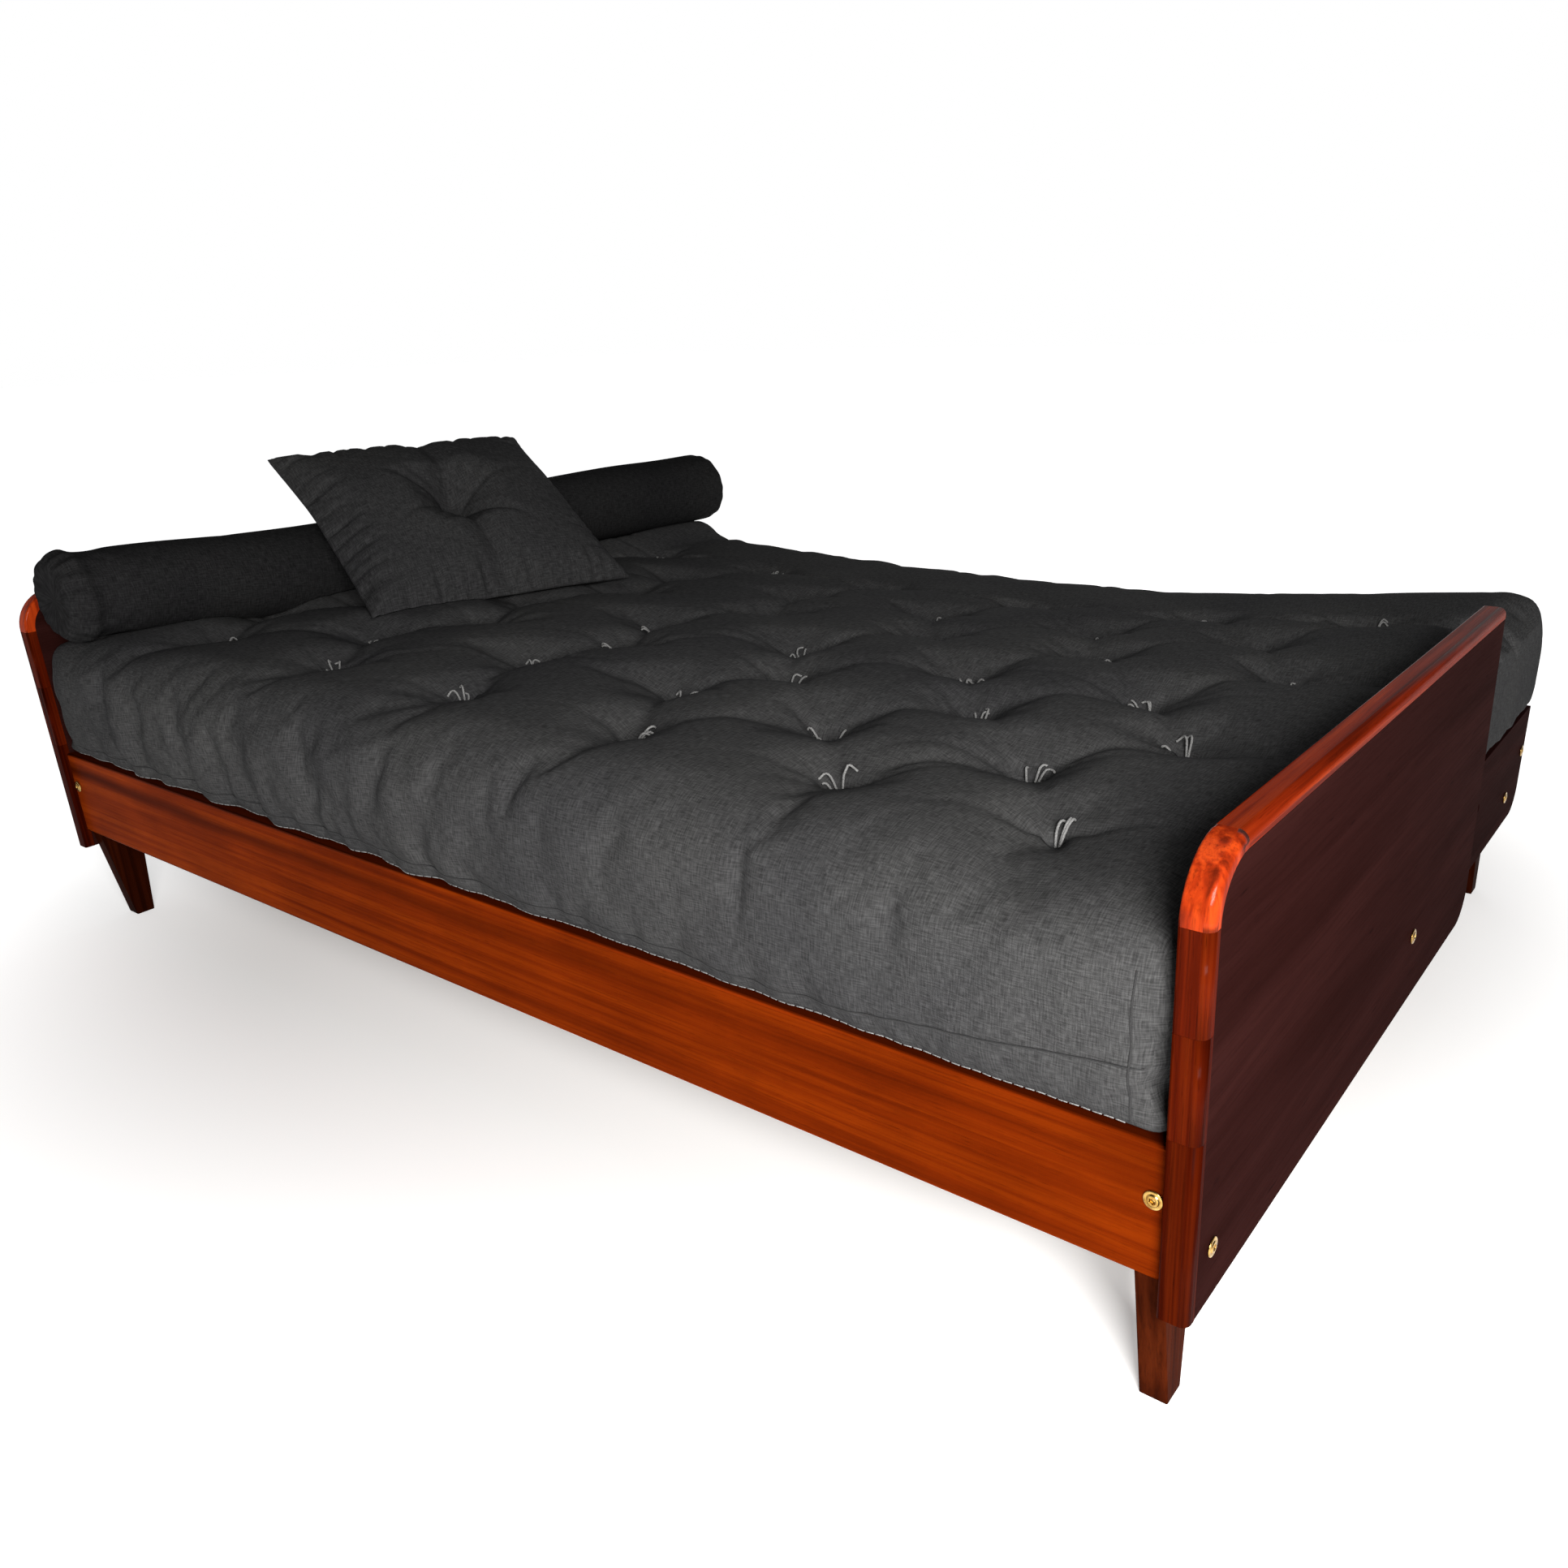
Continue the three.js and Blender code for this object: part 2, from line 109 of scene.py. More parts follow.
PUCKER = (0.0060, 0.0110)  # depth of the folds of its sides, and how much deeper at the head
SEAM_RADIUS = 0.0011
HEM_RADIUS = 0.0008
TIE_RADIUS = 0.0014
MATTRESS_KEPT = 0.665  # share of its depth left once the rear half is pushed in

rng = random.Random(11)


def unit(value, low, high):
    """A smooth step: 0 at low, 1 at high, and no more beyond them."""
    t = np.clip((np.asarray(value, float) - low) / (high - low), 0, 1)
    return t * t * (3 - 2 * t)


def wobble(point, scale, seed=0.0):
    """Smooth noise from -1 to 1 at a point, with features about scale metres across."""
    return noise.noise(Vector(point) / scale + Vector((seed, -seed, 0.5 * seed)))


# ---------------------------------------------------------------- stage, lights and camera


def make_camera():
    data = bpy.data.cameras.new("camera")
    data.lens = CAMERA_LENS
    data.shift_x, data.shift_y = CAMERA_SHIFT
    camera = bpy.data.objects.new("camera", data)
    camera.location = CAMERA_PLACE
    camera.rotation_euler = Euler([math.radians(angle) for angle in CAMERA_TURN])
    bpy.context.scene.collection.objects.link(camera)
    bpy.context.scene.camera = camera


def make_area_light(name, place, target, size, power, tint=(1, 1, 1)):
    data = bpy.data.lights.new(name, "AREA")
    data.shape = "RECTANGLE"
    data.size, data.size_y = size
    data.energy = power
    data.color = tint
    light = bpy.data.objects.new(name, data)
    light.location = place
    light.visible_camera = False
    direction = Vector(target) - Vector(place)
    light.rotation_euler = direction.to_track_quat("-Z", "Y").to_euler()
    bpy.context.scene.collection.objects.link(light)


def make_stage():
    world = bpy.data.worlds.new("studio")
    world.use_nodes = True
    tree = world.node_tree
    background = tree.nodes["Background"]
    background.inputs["Color"].default_value = (1, 1, 1, 1)
    outwards = node(tree, "TexCoord").outputs["Generated"]
    inputs = {0: outwards, 1: BRIGHT_SIDE}
    facing = node(tree, "VectorMath", inputs, operation="DOT_PRODUCT").outputs["Value"]
    sideways = remap(tree, facing, *WALL_EDGE, DIM_LEVEL, 1.0, smooth=True)
    level = node(tree, "SeparateXYZ", {"Vector": outwards}).outputs["Z"]
    upwards = remap(tree, level, *WALL_TOP, 1.0, DIM_LEVEL, smooth=True)
    strength = maths(tree, "MINIMUM", sideways, upwards)
    seen = node(tree, "LightPath").outputs["Is Camera Ray"]  # the studio's walls are white to look at
    tree.links.new(maths(tree, "MAXIMUM", strength, seen), background.inputs["Strength"])
    bpy.context.scene.world = world
    bpy.context.scene.view_settings.view_transform = "Standard"

    reach = 30
    corners = [(-reach, -reach, 0), (reach, -reach, 0), (reach, reach, 0), (-reach, reach, 0)]
    new_piece("floor", corners, [(0, 1, 2, 3)], make_floor_material(), smooth=False)

    make_area_light("ceiling", (0.4, -0.2, 2.6), (0.2, 0, 0.4), (1.8, 1.4), 6)
    make_area_light("window", (1.95, -1.85, 1.12), (0.1, -0.4, 0.35), (0.8, 0.6), 92, (1, 0.98, 0.96))
    make_area_light("rear_fill", (-0.9, 2.7, 0.75), (0, 0.6, 0.35), (1.6, 0.5), 7)


# ---------------------------------------------------------------- materials


def node(tree, kind, inputs=None, **settings):
    """Adds a shader node. An input that is another node's socket is linked, and any other is set."""
    made = tree.nodes.new("ShaderNode" + kind)
    for key, value in settings.items():
        setattr(made, key, value)
    for key, value in (inputs or {}).items():
        if isinstance(value, bpy.types.NodeSocket):
            tree.links.new(value, made.inputs[key])
        else:
            made.inputs[key].default_value = value
    return made


def maths(tree, operation, *values):
    return node(tree, "Math", dict(enumerate(values)), operation=operation).outputs[0]


def ramp(tree, factor, stops):
    """A colour ramp with stops as (position, (red, green, blue))."""
    made = node(tree, "ValToRGB", {"Fac": factor})
    elements = made.color_ramp.elements
    while len(elements) < len(stops):
        elements.new(1.0)
    for element, (position, colour) in zip(elements, stops):
        element.position = position
        element.color = (*colour, 1)
    return made.outputs["Color"]


def mixed(tree, factor, first, second, blend="MIX"):
    inputs = {0: factor, 6: first, 7: second}  # 6 and 7 are the node's two colours
    return node(tree, "Mix", inputs, data_type="RGBA", blend_type=blend).outputs[2]


def remap(tree, value, low, high, start=0.0, end=1.0, smooth=False):
    """Turns values from low to high into values from start to end, and holds them beyond."""
    inputs = {"Value": value, "From Min": low, "From Max": high, "To Min": start, "To Max": end}
    shape = "SMOOTHSTEP" if smooth else "LINEAR"
    return node(tree, "MapRange", inputs, interpolation_type=shape).outputs[0]


def stretched_noise(tree, coords, scale, detail=3.0, distortion=0.0):
    """Noise whose features are 1/scale metres across along each axis."""
    mapping = node(tree, "Mapping", {"Vector": coords, "Scale": scale})
    inputs = {"Vector": mapping.outputs[0], "Scale": 1.0, "Detail": detail}
    inputs["Distortion"] = distortion
    return node(tree, "TexNoise", inputs).outputs["Fac"]


def new_material(name, settings):
    """A material, its node tree and its shader, with settings as {socket: value}."""
    material = bpy.data.materials.new(name)
    material.use_nodes = True
    shader = material.node_tree.nodes["Principled BSDF"]
    for socket, value in settings.items():
        shader.inputs[socket].default_value = value
    return material, material.node_tree, shader


def bump(tree, shader, height, distance, strength=1.0):
    inputs = {"Height": height, "Distance": distance, "Strength": strength}
    tree.links.new(node(tree, "Bump", inputs).outputs[0], shader.inputs["Normal"])


def make_floor_material():
    """White paper. It glows, most of all far away, so that it stays white to the horizon."""
    settings = {"Roughness": 0.8, "Specular IOR Level": 0.1}
    settings.update({"Base Color": (0.92, 0.92, 0.92, 1), "Emission Color": (1, 1, 1, 1)})
    material, tree, shader = new_material("floor_paper", settings)
    place = node(tree, "TexCoord").outputs["Object"]
    away = node(tree, "VectorMath", {0: place}, operation="LENGTH").outputs["Value"]
    glow = remap(tree, away, *FLOOR_FADE, *FLOOR_GLOW, smooth=True)
    tree.links.new(glow, shader.inputs["Emission Strength"])
    return material


GRAIN = {"x": (0, 1, 1), "y": (1, 0, 1), "z": (1, 1, 0)}
RAIL_ENDS = (-0.95, 0.95)
STREAK_LEVEL = 0.262 - 0.022  # height of the rail's streak, less the mean of its wave
STREAK_HALF = 0.017
PAINTED_SHADE_DEPTHS = (0.0012, 0.0004)  # depths below the rail's top where its painted shade begins and is whole


def grain(tree, coords, axis, along, across, detail=3.0, distortion=0.0):
    """Noise that runs along an axis: few features along it and many across."""
    scale = tuple(across if is_across else along for is_across in GRAIN[axis])
    return stretched_noise(tree, coords, scale, detail, distortion)


def wood_material(name, axis, dark, middle, light, seed=0.0, gloss=0.32, coat=0.0, figure_and_shade_marks=(), painted_light_tones=()):
    """Lacquered wood. Its grain runs along an axis, in colours from dark to light.

    Marks darken it where their masks say: wood figure, and painted shade. Tones, from the head end to the
    foot end, tint it with painted light: lighter and bluer towards the head end, darker towards the foot
    end, evening out how the lamps light the rail.
    """
    settings = {"Specular IOR Level": 0.002, "Coat Weight": coat, "Coat Roughness": 0.12}
    material, tree, shader = new_material(name, settings)
    coords = node(tree, "TexCoord").outputs["Object"]
    offset = {"Vector": coords, "Location": (seed, 2 * seed, 3 * seed)}
    coords = node(tree, "Mapping", offset).outputs[0]
    bands = grain(tree, coords, axis, 1.3, 85, 5, 0.5)
    fibres = grain(tree, coords, axis, 9, 420, 3)
    pores = grain(tree, coords, axis, 45, 1300, 2)
    clouds = grain(tree, coords, axis, 7, 11, 3, 0.3)
    colour = ramp(tree, bands, [(0.30, dark), (0.47, middle), (0.62, light), (0.80, middle)])
    darker = tuple(0.55 * value for value in dark)
    colour = mixed(tree, remap(tree, fibres, 0.50, 0.80, 0, 0.75), colour, (*dark, 1))
    colour = mixed(tree, remap(tree, pores, 0.62, 0.78, 0, 0.7), colour, (*darker, 1))
    shade = ramp(tree, clouds, [(0.25, (0.74, 0.70, 0.68)), (0.75, (1.14, 1.14, 1.12))])
    colour = mixed(tree, 1.0, colour, shade, "MULTIPLY")
    # Painted light: a tint that runs from the head end to the foot end
    if painted_light_tones:
        place = node(tree, "SeparateXYZ", {"Vector": coords}).outputs["X"]
        share = remap(tree, place, *RAIL_ENDS)
        stops = [(i / (len(painted_light_tones) - 1), tone) for i, tone in enumerate(painted_light_tones)]
        colour = mixed(tree, 1.0, colour, ramp(tree, share, stops), "MULTIPLY")
    # Marks darken the colour: wood figure, and painted shade
    for mark in figure_and_shade_marks:
        colour = mixed(tree, mark(tree, coords), colour, (*darker, 1))
    tree.links.new(colour, shader.inputs["Base Color"])
    rough = remap(tree, fibres, 0, 1, gloss - 0.06, gloss + 0.10)
    tree.links.new(rough, shader.inputs["Roughness"])
    height = maths(tree, "ADD", maths(tree, "MULTIPLY", bands, 0.6), fibres)
    bump(tree, shader, height, 0.00025, 0.5)
    return material


def heart_streak(tree, coords):
    """Where the rail's dark heartwood shows: a wavy band near its top, strongest at the head end."""
    split = node(tree, "SeparateXYZ", {"Vector": coords})
    wave = stretched_noise(tree, coords, (1.6, 3, 3), 3)
    level = maths(tree, "ADD", split.outputs["Z"], maths(tree, "MULTIPLY", wave, -0.045))
    off = maths(tree, "ABSOLUTE", maths(tree, "SUBTRACT", level, STREAK_LEVEL))
    band = remap(tree, off, 0, STREAK_HALF, 0.95, 0.0, smooth=True)
    fade = remap(tree, split.outputs["X"], -0.9, 0.7, 1.0, 0.12)
    return maths(tree, "MULTIPLY", band, fade)


def painted_shade_upper_edge(tree, coords):
    """Painted shade: the upper edge of the rail, under the futon, is darkened to stand in for the shade
    of the futon's overhang.
    """
    level = node(tree, "SeparateXYZ", {"Vector": coords}).outputs["Z"]
    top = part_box("front_rail")[1].z
    return remap(tree, level, top - PAINTED_SHADE_DEPTHS[0], top - PAINTED_SHADE_DEPTHS[1], 0, 0.92)


def veneer_material():
    """The dark satin face of the end panels and the pull-out sides, with grain along Y."""
    material, tree, shader = new_material("panel_veneer", {"Specular IOR Level": 0.0003})
    coords = node(tree, "TexCoord").outputs["Object"]
    bands = grain(tree, coords, "y", 1.3, 17, 5, 0.9)
    fibres = grain(tree, coords, "y", 14, 520, 3)
    flecks = grain(tree, coords, "y", 22, 210, 2)
    stops = [(0.3, (0.0128, 0.0032, 0.0026)), (0.55, (0.0188, 0.0052, 0.0045))]
    colour = ramp(tree, bands, [*stops, (0.75, (0.0250, 0.0072, 0.0062))])
    fibre_mask = remap(tree, fibres, 0.45, 0.85, 0, 0.6)
    colour = mixed(tree, fibre_mask, colour, (0.009, 0.0022, 0.0018, 1))
    fleck_mask = remap(tree, flecks, 0.70, 0.80, 0, 0.8)
    colour = mixed(tree, fleck_mask, colour, (0.006, 0.0016, 0.0015, 1))
    tree.links.new(colour, shader.inputs["Base Color"])
    tree.links.new(remap(tree, fibres, 0, 1, 0.34, 0.46), shader.inputs["Roughness"])
    bump(tree, shader, fibres, 0.00015, 0.5)
    return material


def brass_material():
    material, tree, shader = new_material("brass", {"Metallic": 1.0})
    coords = node(tree, "TexCoord").outputs["Object"]
    tarnish = stretched_noise(tree, coords, (160, 160, 160), 4)
    stops = [(0.35, (0.26, 0.14, 0.03)), (0.65, (0.56, 0.36, 0.11))]
    tree.links.new(ramp(tree, tarnish, stops), shader.inputs["Base Color"])
    tree.links.new(remap(tree, tarnish, 0, 1, 0.34, 0.18), shader.inputs["Roughness"])
    return material


def woven_material(name, colour, pitch, slub, depth):
    """Plain-woven cloth. Its UV map is in metres, with warp along U, so that threads keep their size."""
    material, tree, shader = new_material(name, {"Specular IOR Level": 0.005})
    uv = node(tree, "UVMap", uv_map="weave").outputs[0]
    split = node(tree, "SeparateXYZ", {"Vector": uv})
    waves = []
    for axis in ("X", "Y"):
        turns = maths(tree, "MULTIPLY", split.outputs[axis], 2 * math.pi / pitch)
        waves.append(maths(tree, "SINE", turns))
    over = maths(tree, "MULTIPLY", *waves)
    warp = stretched_noise(tree, uv, (75, 1.2 / pitch, 1), 3)
    weft = stretched_noise(tree, uv, (1.2 / pitch, 75, 1), 3)
    threads = maths(tree, "ADD", warp, weft)
    fuzz = stretched_noise(tree, uv, (2600, 2600, 1), 2)
    coords = node(tree, "TexCoord").outputs["Object"]
    wear = stretched_noise(tree, coords, (5, 5, 5), 4)

    lights = [tuple(factor * value for value in colour) for factor in (0.60, 1.0, 1.50)]
    shade = ramp(tree, maths(tree, "MULTIPLY", threads, 0.5), list(zip((0.37, 0.5, 0.63), lights)))
    patches = ramp(tree, wear, [(0.3, (0.86, 0.86, 0.88)), (0.7, (1.12, 1.12, 1.10))])
    tree.links.new(mixed(tree, 1.0, shade, patches, "MULTIPLY"), shader.inputs["Base Color"])
    tree.links.new(remap(tree, fuzz, 0, 1, 0.78, 0.95), shader.inputs["Roughness"])
    raised = maths(tree, "MULTIPLY", threads, slub)
    height = maths(tree, "ADD", maths(tree, "MULTIPLY", over, 0.35), raised)
    height = maths(tree, "ADD", height, maths(tree, "MULTIPLY", fuzz, 0.2))
    bump(tree, shader, height, depth, 0.5)
    return material


def thread_material(name, colour):
    """Twisted thread or piping cord."""
    material, tree, shader = new_material(name, {"Roughness": 0.85})
    coords = node(tree, "TexCoord").outputs["Object"]
    twist = stretched_noise(tree, coords, (900, 900, 900), 2)
    dark = tuple(0.6 * value for value in colour)
    light = tuple(1.3 * value for value in colour)
    tree.links.new(ramp(tree, twist, [(0.35, dark), (0.65, light)]), shader.inputs["Base Color"])
    bump(tree, shader, twist, 0.0003)
    return material


# ---------------------------------------------------------------- mesh helpers


def new_piece(name, verts, faces, material, smooth=True):
    mesh = bpy.data.meshes.new(name)
    mesh.from_pydata([tuple(v) for v in verts], [], faces)
    mesh.validate()
    mesh.polygons.foreach_set("use_smooth", [smooth] * len(mesh.polygons))
    mesh.materials.append(material)
    piece = bpy.data.objects.new(name, mesh)
    bpy.context.scene.collection.objects.link(piece)
    return piece


def points_of(piece, what="co"):
    """A row for each vertex: its place, or with "normal" its normal."""
    flat = np.empty(3 * len(piece.data.vertices))
    piece.data.vertices.foreach_get(what, flat)
    return flat.reshape(-1, 3)


def move_points(piece, points):
    piece.data.vertices.foreach_set("co", np.asarray(points, float).ravel())
    piece.data.update()


def apply_modifiers(piece):
    """Bakes a piece's modifiers into its mesh."""
    bpy.context.view_layer.update()
    graph = bpy.context.evaluated_depsgraph_get()
    mesh = bpy.data.meshes.new_from_object(piece.evaluated_get(graph))
    piece.modifiers.clear()
    piece.data = mesh


def subdivide(piece):
    modifier = piece.modifiers.new("subdivision", "SUBSURF")
    modifier.levels = modifier.render_levels = 1
    apply_modifiers(piece)


def tube(points, radius, sides=6):
    """Vertices and faces of a tube with closed ends along a list of points."""
    points = [Vector(point) for point in points]
    verts, faces = [], []
    side = None
    for i, point in enumerate(points):
        ahead = points[min(i + 1, len(points) - 1)] - points[max(i - 1, 0)]
        ahead.normalize()
        if side is None:
            side = ahead.orthogonal()
        side = (side - ahead * side.dot(ahead)).normalized()
        up = ahead.cross(side)
        for k in range(sides):
            angle = 2 * math.pi * k / sides
            verts.append(point + radius * (math.cos(angle) * side + math.sin(angle) * up))
    for i in range(len(points) - 1):
        for k in range(sides):
            a, b = i * sides + k, i * sides + (k + 1) % sides
            faces.append((a, b, b + sides, a + sides))
    faces.append(tuple(reversed(range(sides))))
    last = (len(points) - 1) * sides
    faces.append(tuple(range(last, last + sides)))
    return verts, faces


def joined(parts):
    """One list of vertices and faces from several."""
    verts, faces = [], []
    for part_verts, part_faces in parts:
        start = len(verts)
        verts.extend(part_verts)
        faces.extend(tuple(start + i for i in face) for face in part_faces)
    return verts, faces


def simulate(piece, pins, pressure, frames, cap, spread=0.0, stiffness=15.0, bending=0.5):
    """Inflates a piece as cloth. Pinned points stay, and no point moves further than cap."""
    start = points_of(piece)
    group = piece.vertex_groups.new(name="pins")
    group.add([int(i) for i in pins], 1.0, "REPLACE")
    cloth = piece.modifiers.new("cloth", "CLOTH")
    settings = cloth.settings
    settings.quality = 5
    settings.mass = 0.3
    settings.tension_stiffness = settings.compression_stiffness = stiffness
    settings.shear_stiffness = 0.4 * stiffness
    settings.bending_stiffness = bending
    settings.use_pressure = True
    settings.uniform_pressure_force = pressure
    settings.shrink_min = -spread
    settings.vertex_group_mass = "pins"
    settings.effector_weights.gravity = 0
    cloth.collision_settings.use_collision = False
    scene = bpy.context.scene
    scene.frame_start, scene.frame_end = 1, frames
    cloth.point_cache.frame_start, cloth.point_cache.frame_end = 1, frames
    for number in range(1, frames + 1):
        scene.frame_set(number)
    apply_modifiers(piece)
    scene.frame_set(1)
    moved = points_of(piece) - start
    length = np.linalg.norm(moved, axis=1)
    shorten = np.minimum(1, cap / np.maximum(length, 1e-9))
    move_points(piece, start + moved * shorten[:, None])
    piece.vertex_groups.clear()


def soft_piece(piece, node_name):
    """Hides a soft CAD solid and attaches a piece in its place to the body of the same name."""
    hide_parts(node_name)
    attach(piece, node_name)


# ---------------------------------------------------------------- woodwork


def refined(node_name, material, ease):
    """A CAD board with its arrises eased, so that they catch the light."""
    shape = bmesh.new()
    shape.from_mesh(frame["nodes"][node_name].data)
    bmesh.ops.remove_doubles(shape, verts=shape.verts, dist=1e-5)
    bmesh.ops.dissolve_limit(
        shape, angle_limit=math.radians(1), verts=shape.verts, edges=shape.edges
    )
    shortest = 0.003  # edges of bolt holes are shorter, and stay sharp
    sharp = [
        edge
        for edge in shape.edges
        if len(edge.link_faces) == 2
        and edge.calc_face_angle() > math.radians(35)
        and edge.calc_length() > shortest
    ]
    bmesh.ops.bevel(
        shape, geom=sharp, offset=ease, segments=2, profile=0.5, affect="EDGES", clamp_overlap=True
    )
    for face in shape.faces:
        face.smooth = True
    mesh = bpy.data.meshes.new(node_name + "_wood")
    shape.to_mesh(mesh)
    shape.free()
    mesh.materials.append(material)
    piece = bpy.data.objects.new(node_name + "_wood", mesh)
    bpy.context.scene.collection.objects.link(piece)
    piece.modifiers.new("normals", "WEIGHTED_NORMAL").keep_sharp = True
    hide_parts(node_name)
    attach(piece, frame["nodes"][node_name]["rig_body"])
    return piece


def make_woodwork():
    rail_colours = ((0.078, 0.0082, 0.0006), (0.124, 0.0135, 0.0008), (0.158, 0.0200, 0.0010))
    # The rail's heartwood figure, and painted shade on its top under the futon
    figure_and_shade_marks = (heart_streak, painted_shade_upper_edge)
    # Painted light: lighter and bluer at the head end, darker at the foot end
    painted_light_tones = ((1.55, 1.75, 2.6), (1.12, 1.15, 1.2), (0.84, 0.80, 0.7))
    rail = wood_material("rail_mahogany", "x", *rail_colours, figure_and_shade_marks=figure_and_shade_marks, painted_light_tones=painted_light_tones)
    refined("front_rail", rail, 0.0010)

    lipping = {}
    tone = ((0.034, 0.0030, 0.0008), (0.105, 0.0085, 0.0014), (0.170, 0.0180, 0.0024))
    # Painted light and coat of lacquer of each length: one wood in lit and shaded copies, from the
    # painted highlight of the bright corner to the painted shade of the dark foot
    painted_light_and_coats = {
        "corner": (2.2, 0.10),
        "top": (1.3, 0.05),
        "upper": (0.58, 0.012),
        "middle": (0.44, 0.006),
        "lower": (0.32, 0.0),
    }
    for seed, (part, (shade, coat)) in enumerate(painted_light_and_coats.items()):
        colours = [tuple(shade * value for value in colour) for colour in tone]
        axis = "y" if part == "top" else "z"
        lipping[part] = wood_material(f"lipping_{part}", axis, *colours, seed, 0.26, coat)

    leg_colours = ((0.018, 0.0028, 0.0008), (0.040, 0.0062, 0.0014), (0.060, 0.0100, 0.0022))
    leg = wood_material("leg_mahogany", "z", *leg_colours, 6.0, 0.40)
    # Painted shade: the head front leg and the rear legs get a darker copy of the leg wood, standing in
    # for the shade they stand in
    painted_shade_leg_colours = [tuple(0.4 * value for value in colour) for colour in leg_colours]
    leg_in_painted_shade = wood_material("leg_painted_shade", "z", *painted_shade_leg_colours, 7.0, 0.40)
    veneer = veneer_material()
    pine = ((0.16, 0.080, 0.030), (0.28, 0.155, 0.065), (0.36, 0.215, 0.095))
    slat = wood_material("slat_pine", "y", *pine, 8.0, 0.60)
    crosswise = wood_material("rail_pine", "x", *pine, 9.0, 0.60)

    for end in ("head", "foot"):
        refined(f"{end}_panel_board", veneer, 0.0008)
        for part in ("upper", "middle", "lower"):
            refined(f"{end}_front_lipping_{part}", lipping[part], 0.0004)
        refined(f"{end}_corner_lipping", lipping["corner"], 0.0004)
        refined(f"{end}_top_lipping", lipping["top"], 0.0004)
        refined(f"{end}_pullout_side", veneer, 0.0012)
        refined(f"{end}_front_leg", leg if end == "foot" else leg_in_painted_shade, 0.0018)
        refined(f"{end}_rear_leg", leg_in_painted_shade, 0.0018)
    for name in sorted(frame["nodes"]):
        if "_slat_" in name:
            refined(name, slat, 0.0020)
        elif name in ("front_ledger", "rear_ledger", "centre_cross_rail", "pullout_front_rail"):
            refined(name, crosswise, 0.0015)
    refined("rear_rail", crosswise, 0.0020)


# ---------------------------------------------------------------- brass


KEY_FLAT = 0.0026  # half the width across the flats of the hexagon socket
# Rings from the flange's edge under the head to the floor of the socket: radius and height
HEAD_RINGS = (
    (0.0030, 0.0),
    (0.0085, 0.0),
    (0.0090, 0.0004),
    (0.0090, 0.0010),
    (0.0084, 0.0016),
    (0.0066, 0.0018),
    (0.0062, 0.0014),
    (0.0058, 0.0014),
    (0.0054, 0.0022),
    (0.0046, 0.0026),
    (0.0036, 0.0026),
)


def bolt_mesh(shank):
    """A bolt along -Z with its head's bearing face on the origin, and a hexagon socket in the head."""
    sides = 48
    verts, faces = [], []

    def ring(radii, height):
        for k in range(sides):
            angle = 2 * math.pi * k / sides
            radius = radii(angle)
            verts.append((radius * math.cos(angle), radius * math.sin(angle), height))

    def hexagon(angle):
        within = (angle + math.pi / 6) % (math.pi / 3) - math.pi / 6
        return KEY_FLAT / math.cos(within)

    shaft = HEAD_RINGS[0][0]
    ring(lambda angle: 0.7 * shaft, -shank)
    ring(lambda angle: shaft, -shank + 0.3 * shaft)
    for radius, height in HEAD_RINGS:
        ring(lambda angle, radius=radius: radius, height)
    ring(hexagon, 0.0025)
    ring(hexagon, 0.0004)
    count = len(verts) // sides
    for i in range(count - 1):
        for k in range(sides):
            a, b = i * sides + k, i * sides + (k + 1) % sides
            faces.append((a, b, b + sides, a + sides))
    faces.append(tuple(reversed(range(sides))))
    faces.append(tuple(range((count - 1) * sides, count * sides)))
    return verts, faces


def make_fittings():
    brass = brass_material()
    for name in sorted(frame["nodes"]):
        if name.endswith("_sleeve"):
            refined(name, brass, 0.0004).name = name + "_brass"
        if not name.endswith("_bolt"):
            continue
        low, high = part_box(name)
        middle = (low + high) / 2
        if "_rail_bolt" in name and "rear" not in name:
            outwards, length = Vector((0, -1, 0)), high.y - low.y
        else:
            outwards, length = Vector((math.copysign(1, middle.x), 0, 0)), high.x - low.x
        head = HEAD_RINGS[-1][1]
        verts, faces = bolt_mesh(length - head)
        piece = new_piece(name + "_brass", verts, faces, brass)
        for polygon in piece.data.polygons:
            polygon.use_smooth = len(polygon.vertices) == 4
        place = middle + outwards * (length / 2 - head)
        turn = outwards.to_track_quat("Z", "Y").to_matrix().to_4x4()
        piece.data.transform(Matrix.Translation(place) @ turn)
        piece.modifiers.new("normals", "WEIGHTED_NORMAL").keep_sharp = True
        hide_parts(name)
        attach(piece, frame["nodes"][name]["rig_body"])


# ---------------------------------------------------------------- futon


def tuft_places():
    """Where the futon is tufted, row by row, with a little of the maker's unevenness."""
    places = []
    for row, y in enumerate(ROW_Y):
        for x in EVEN_ROWS if row % 2 == 0 else ODD_ROWS:
            places.append((x + rng.uniform(-0.012, 0.012), y + rng.uniform(-0.010, 0.010)))
    return places


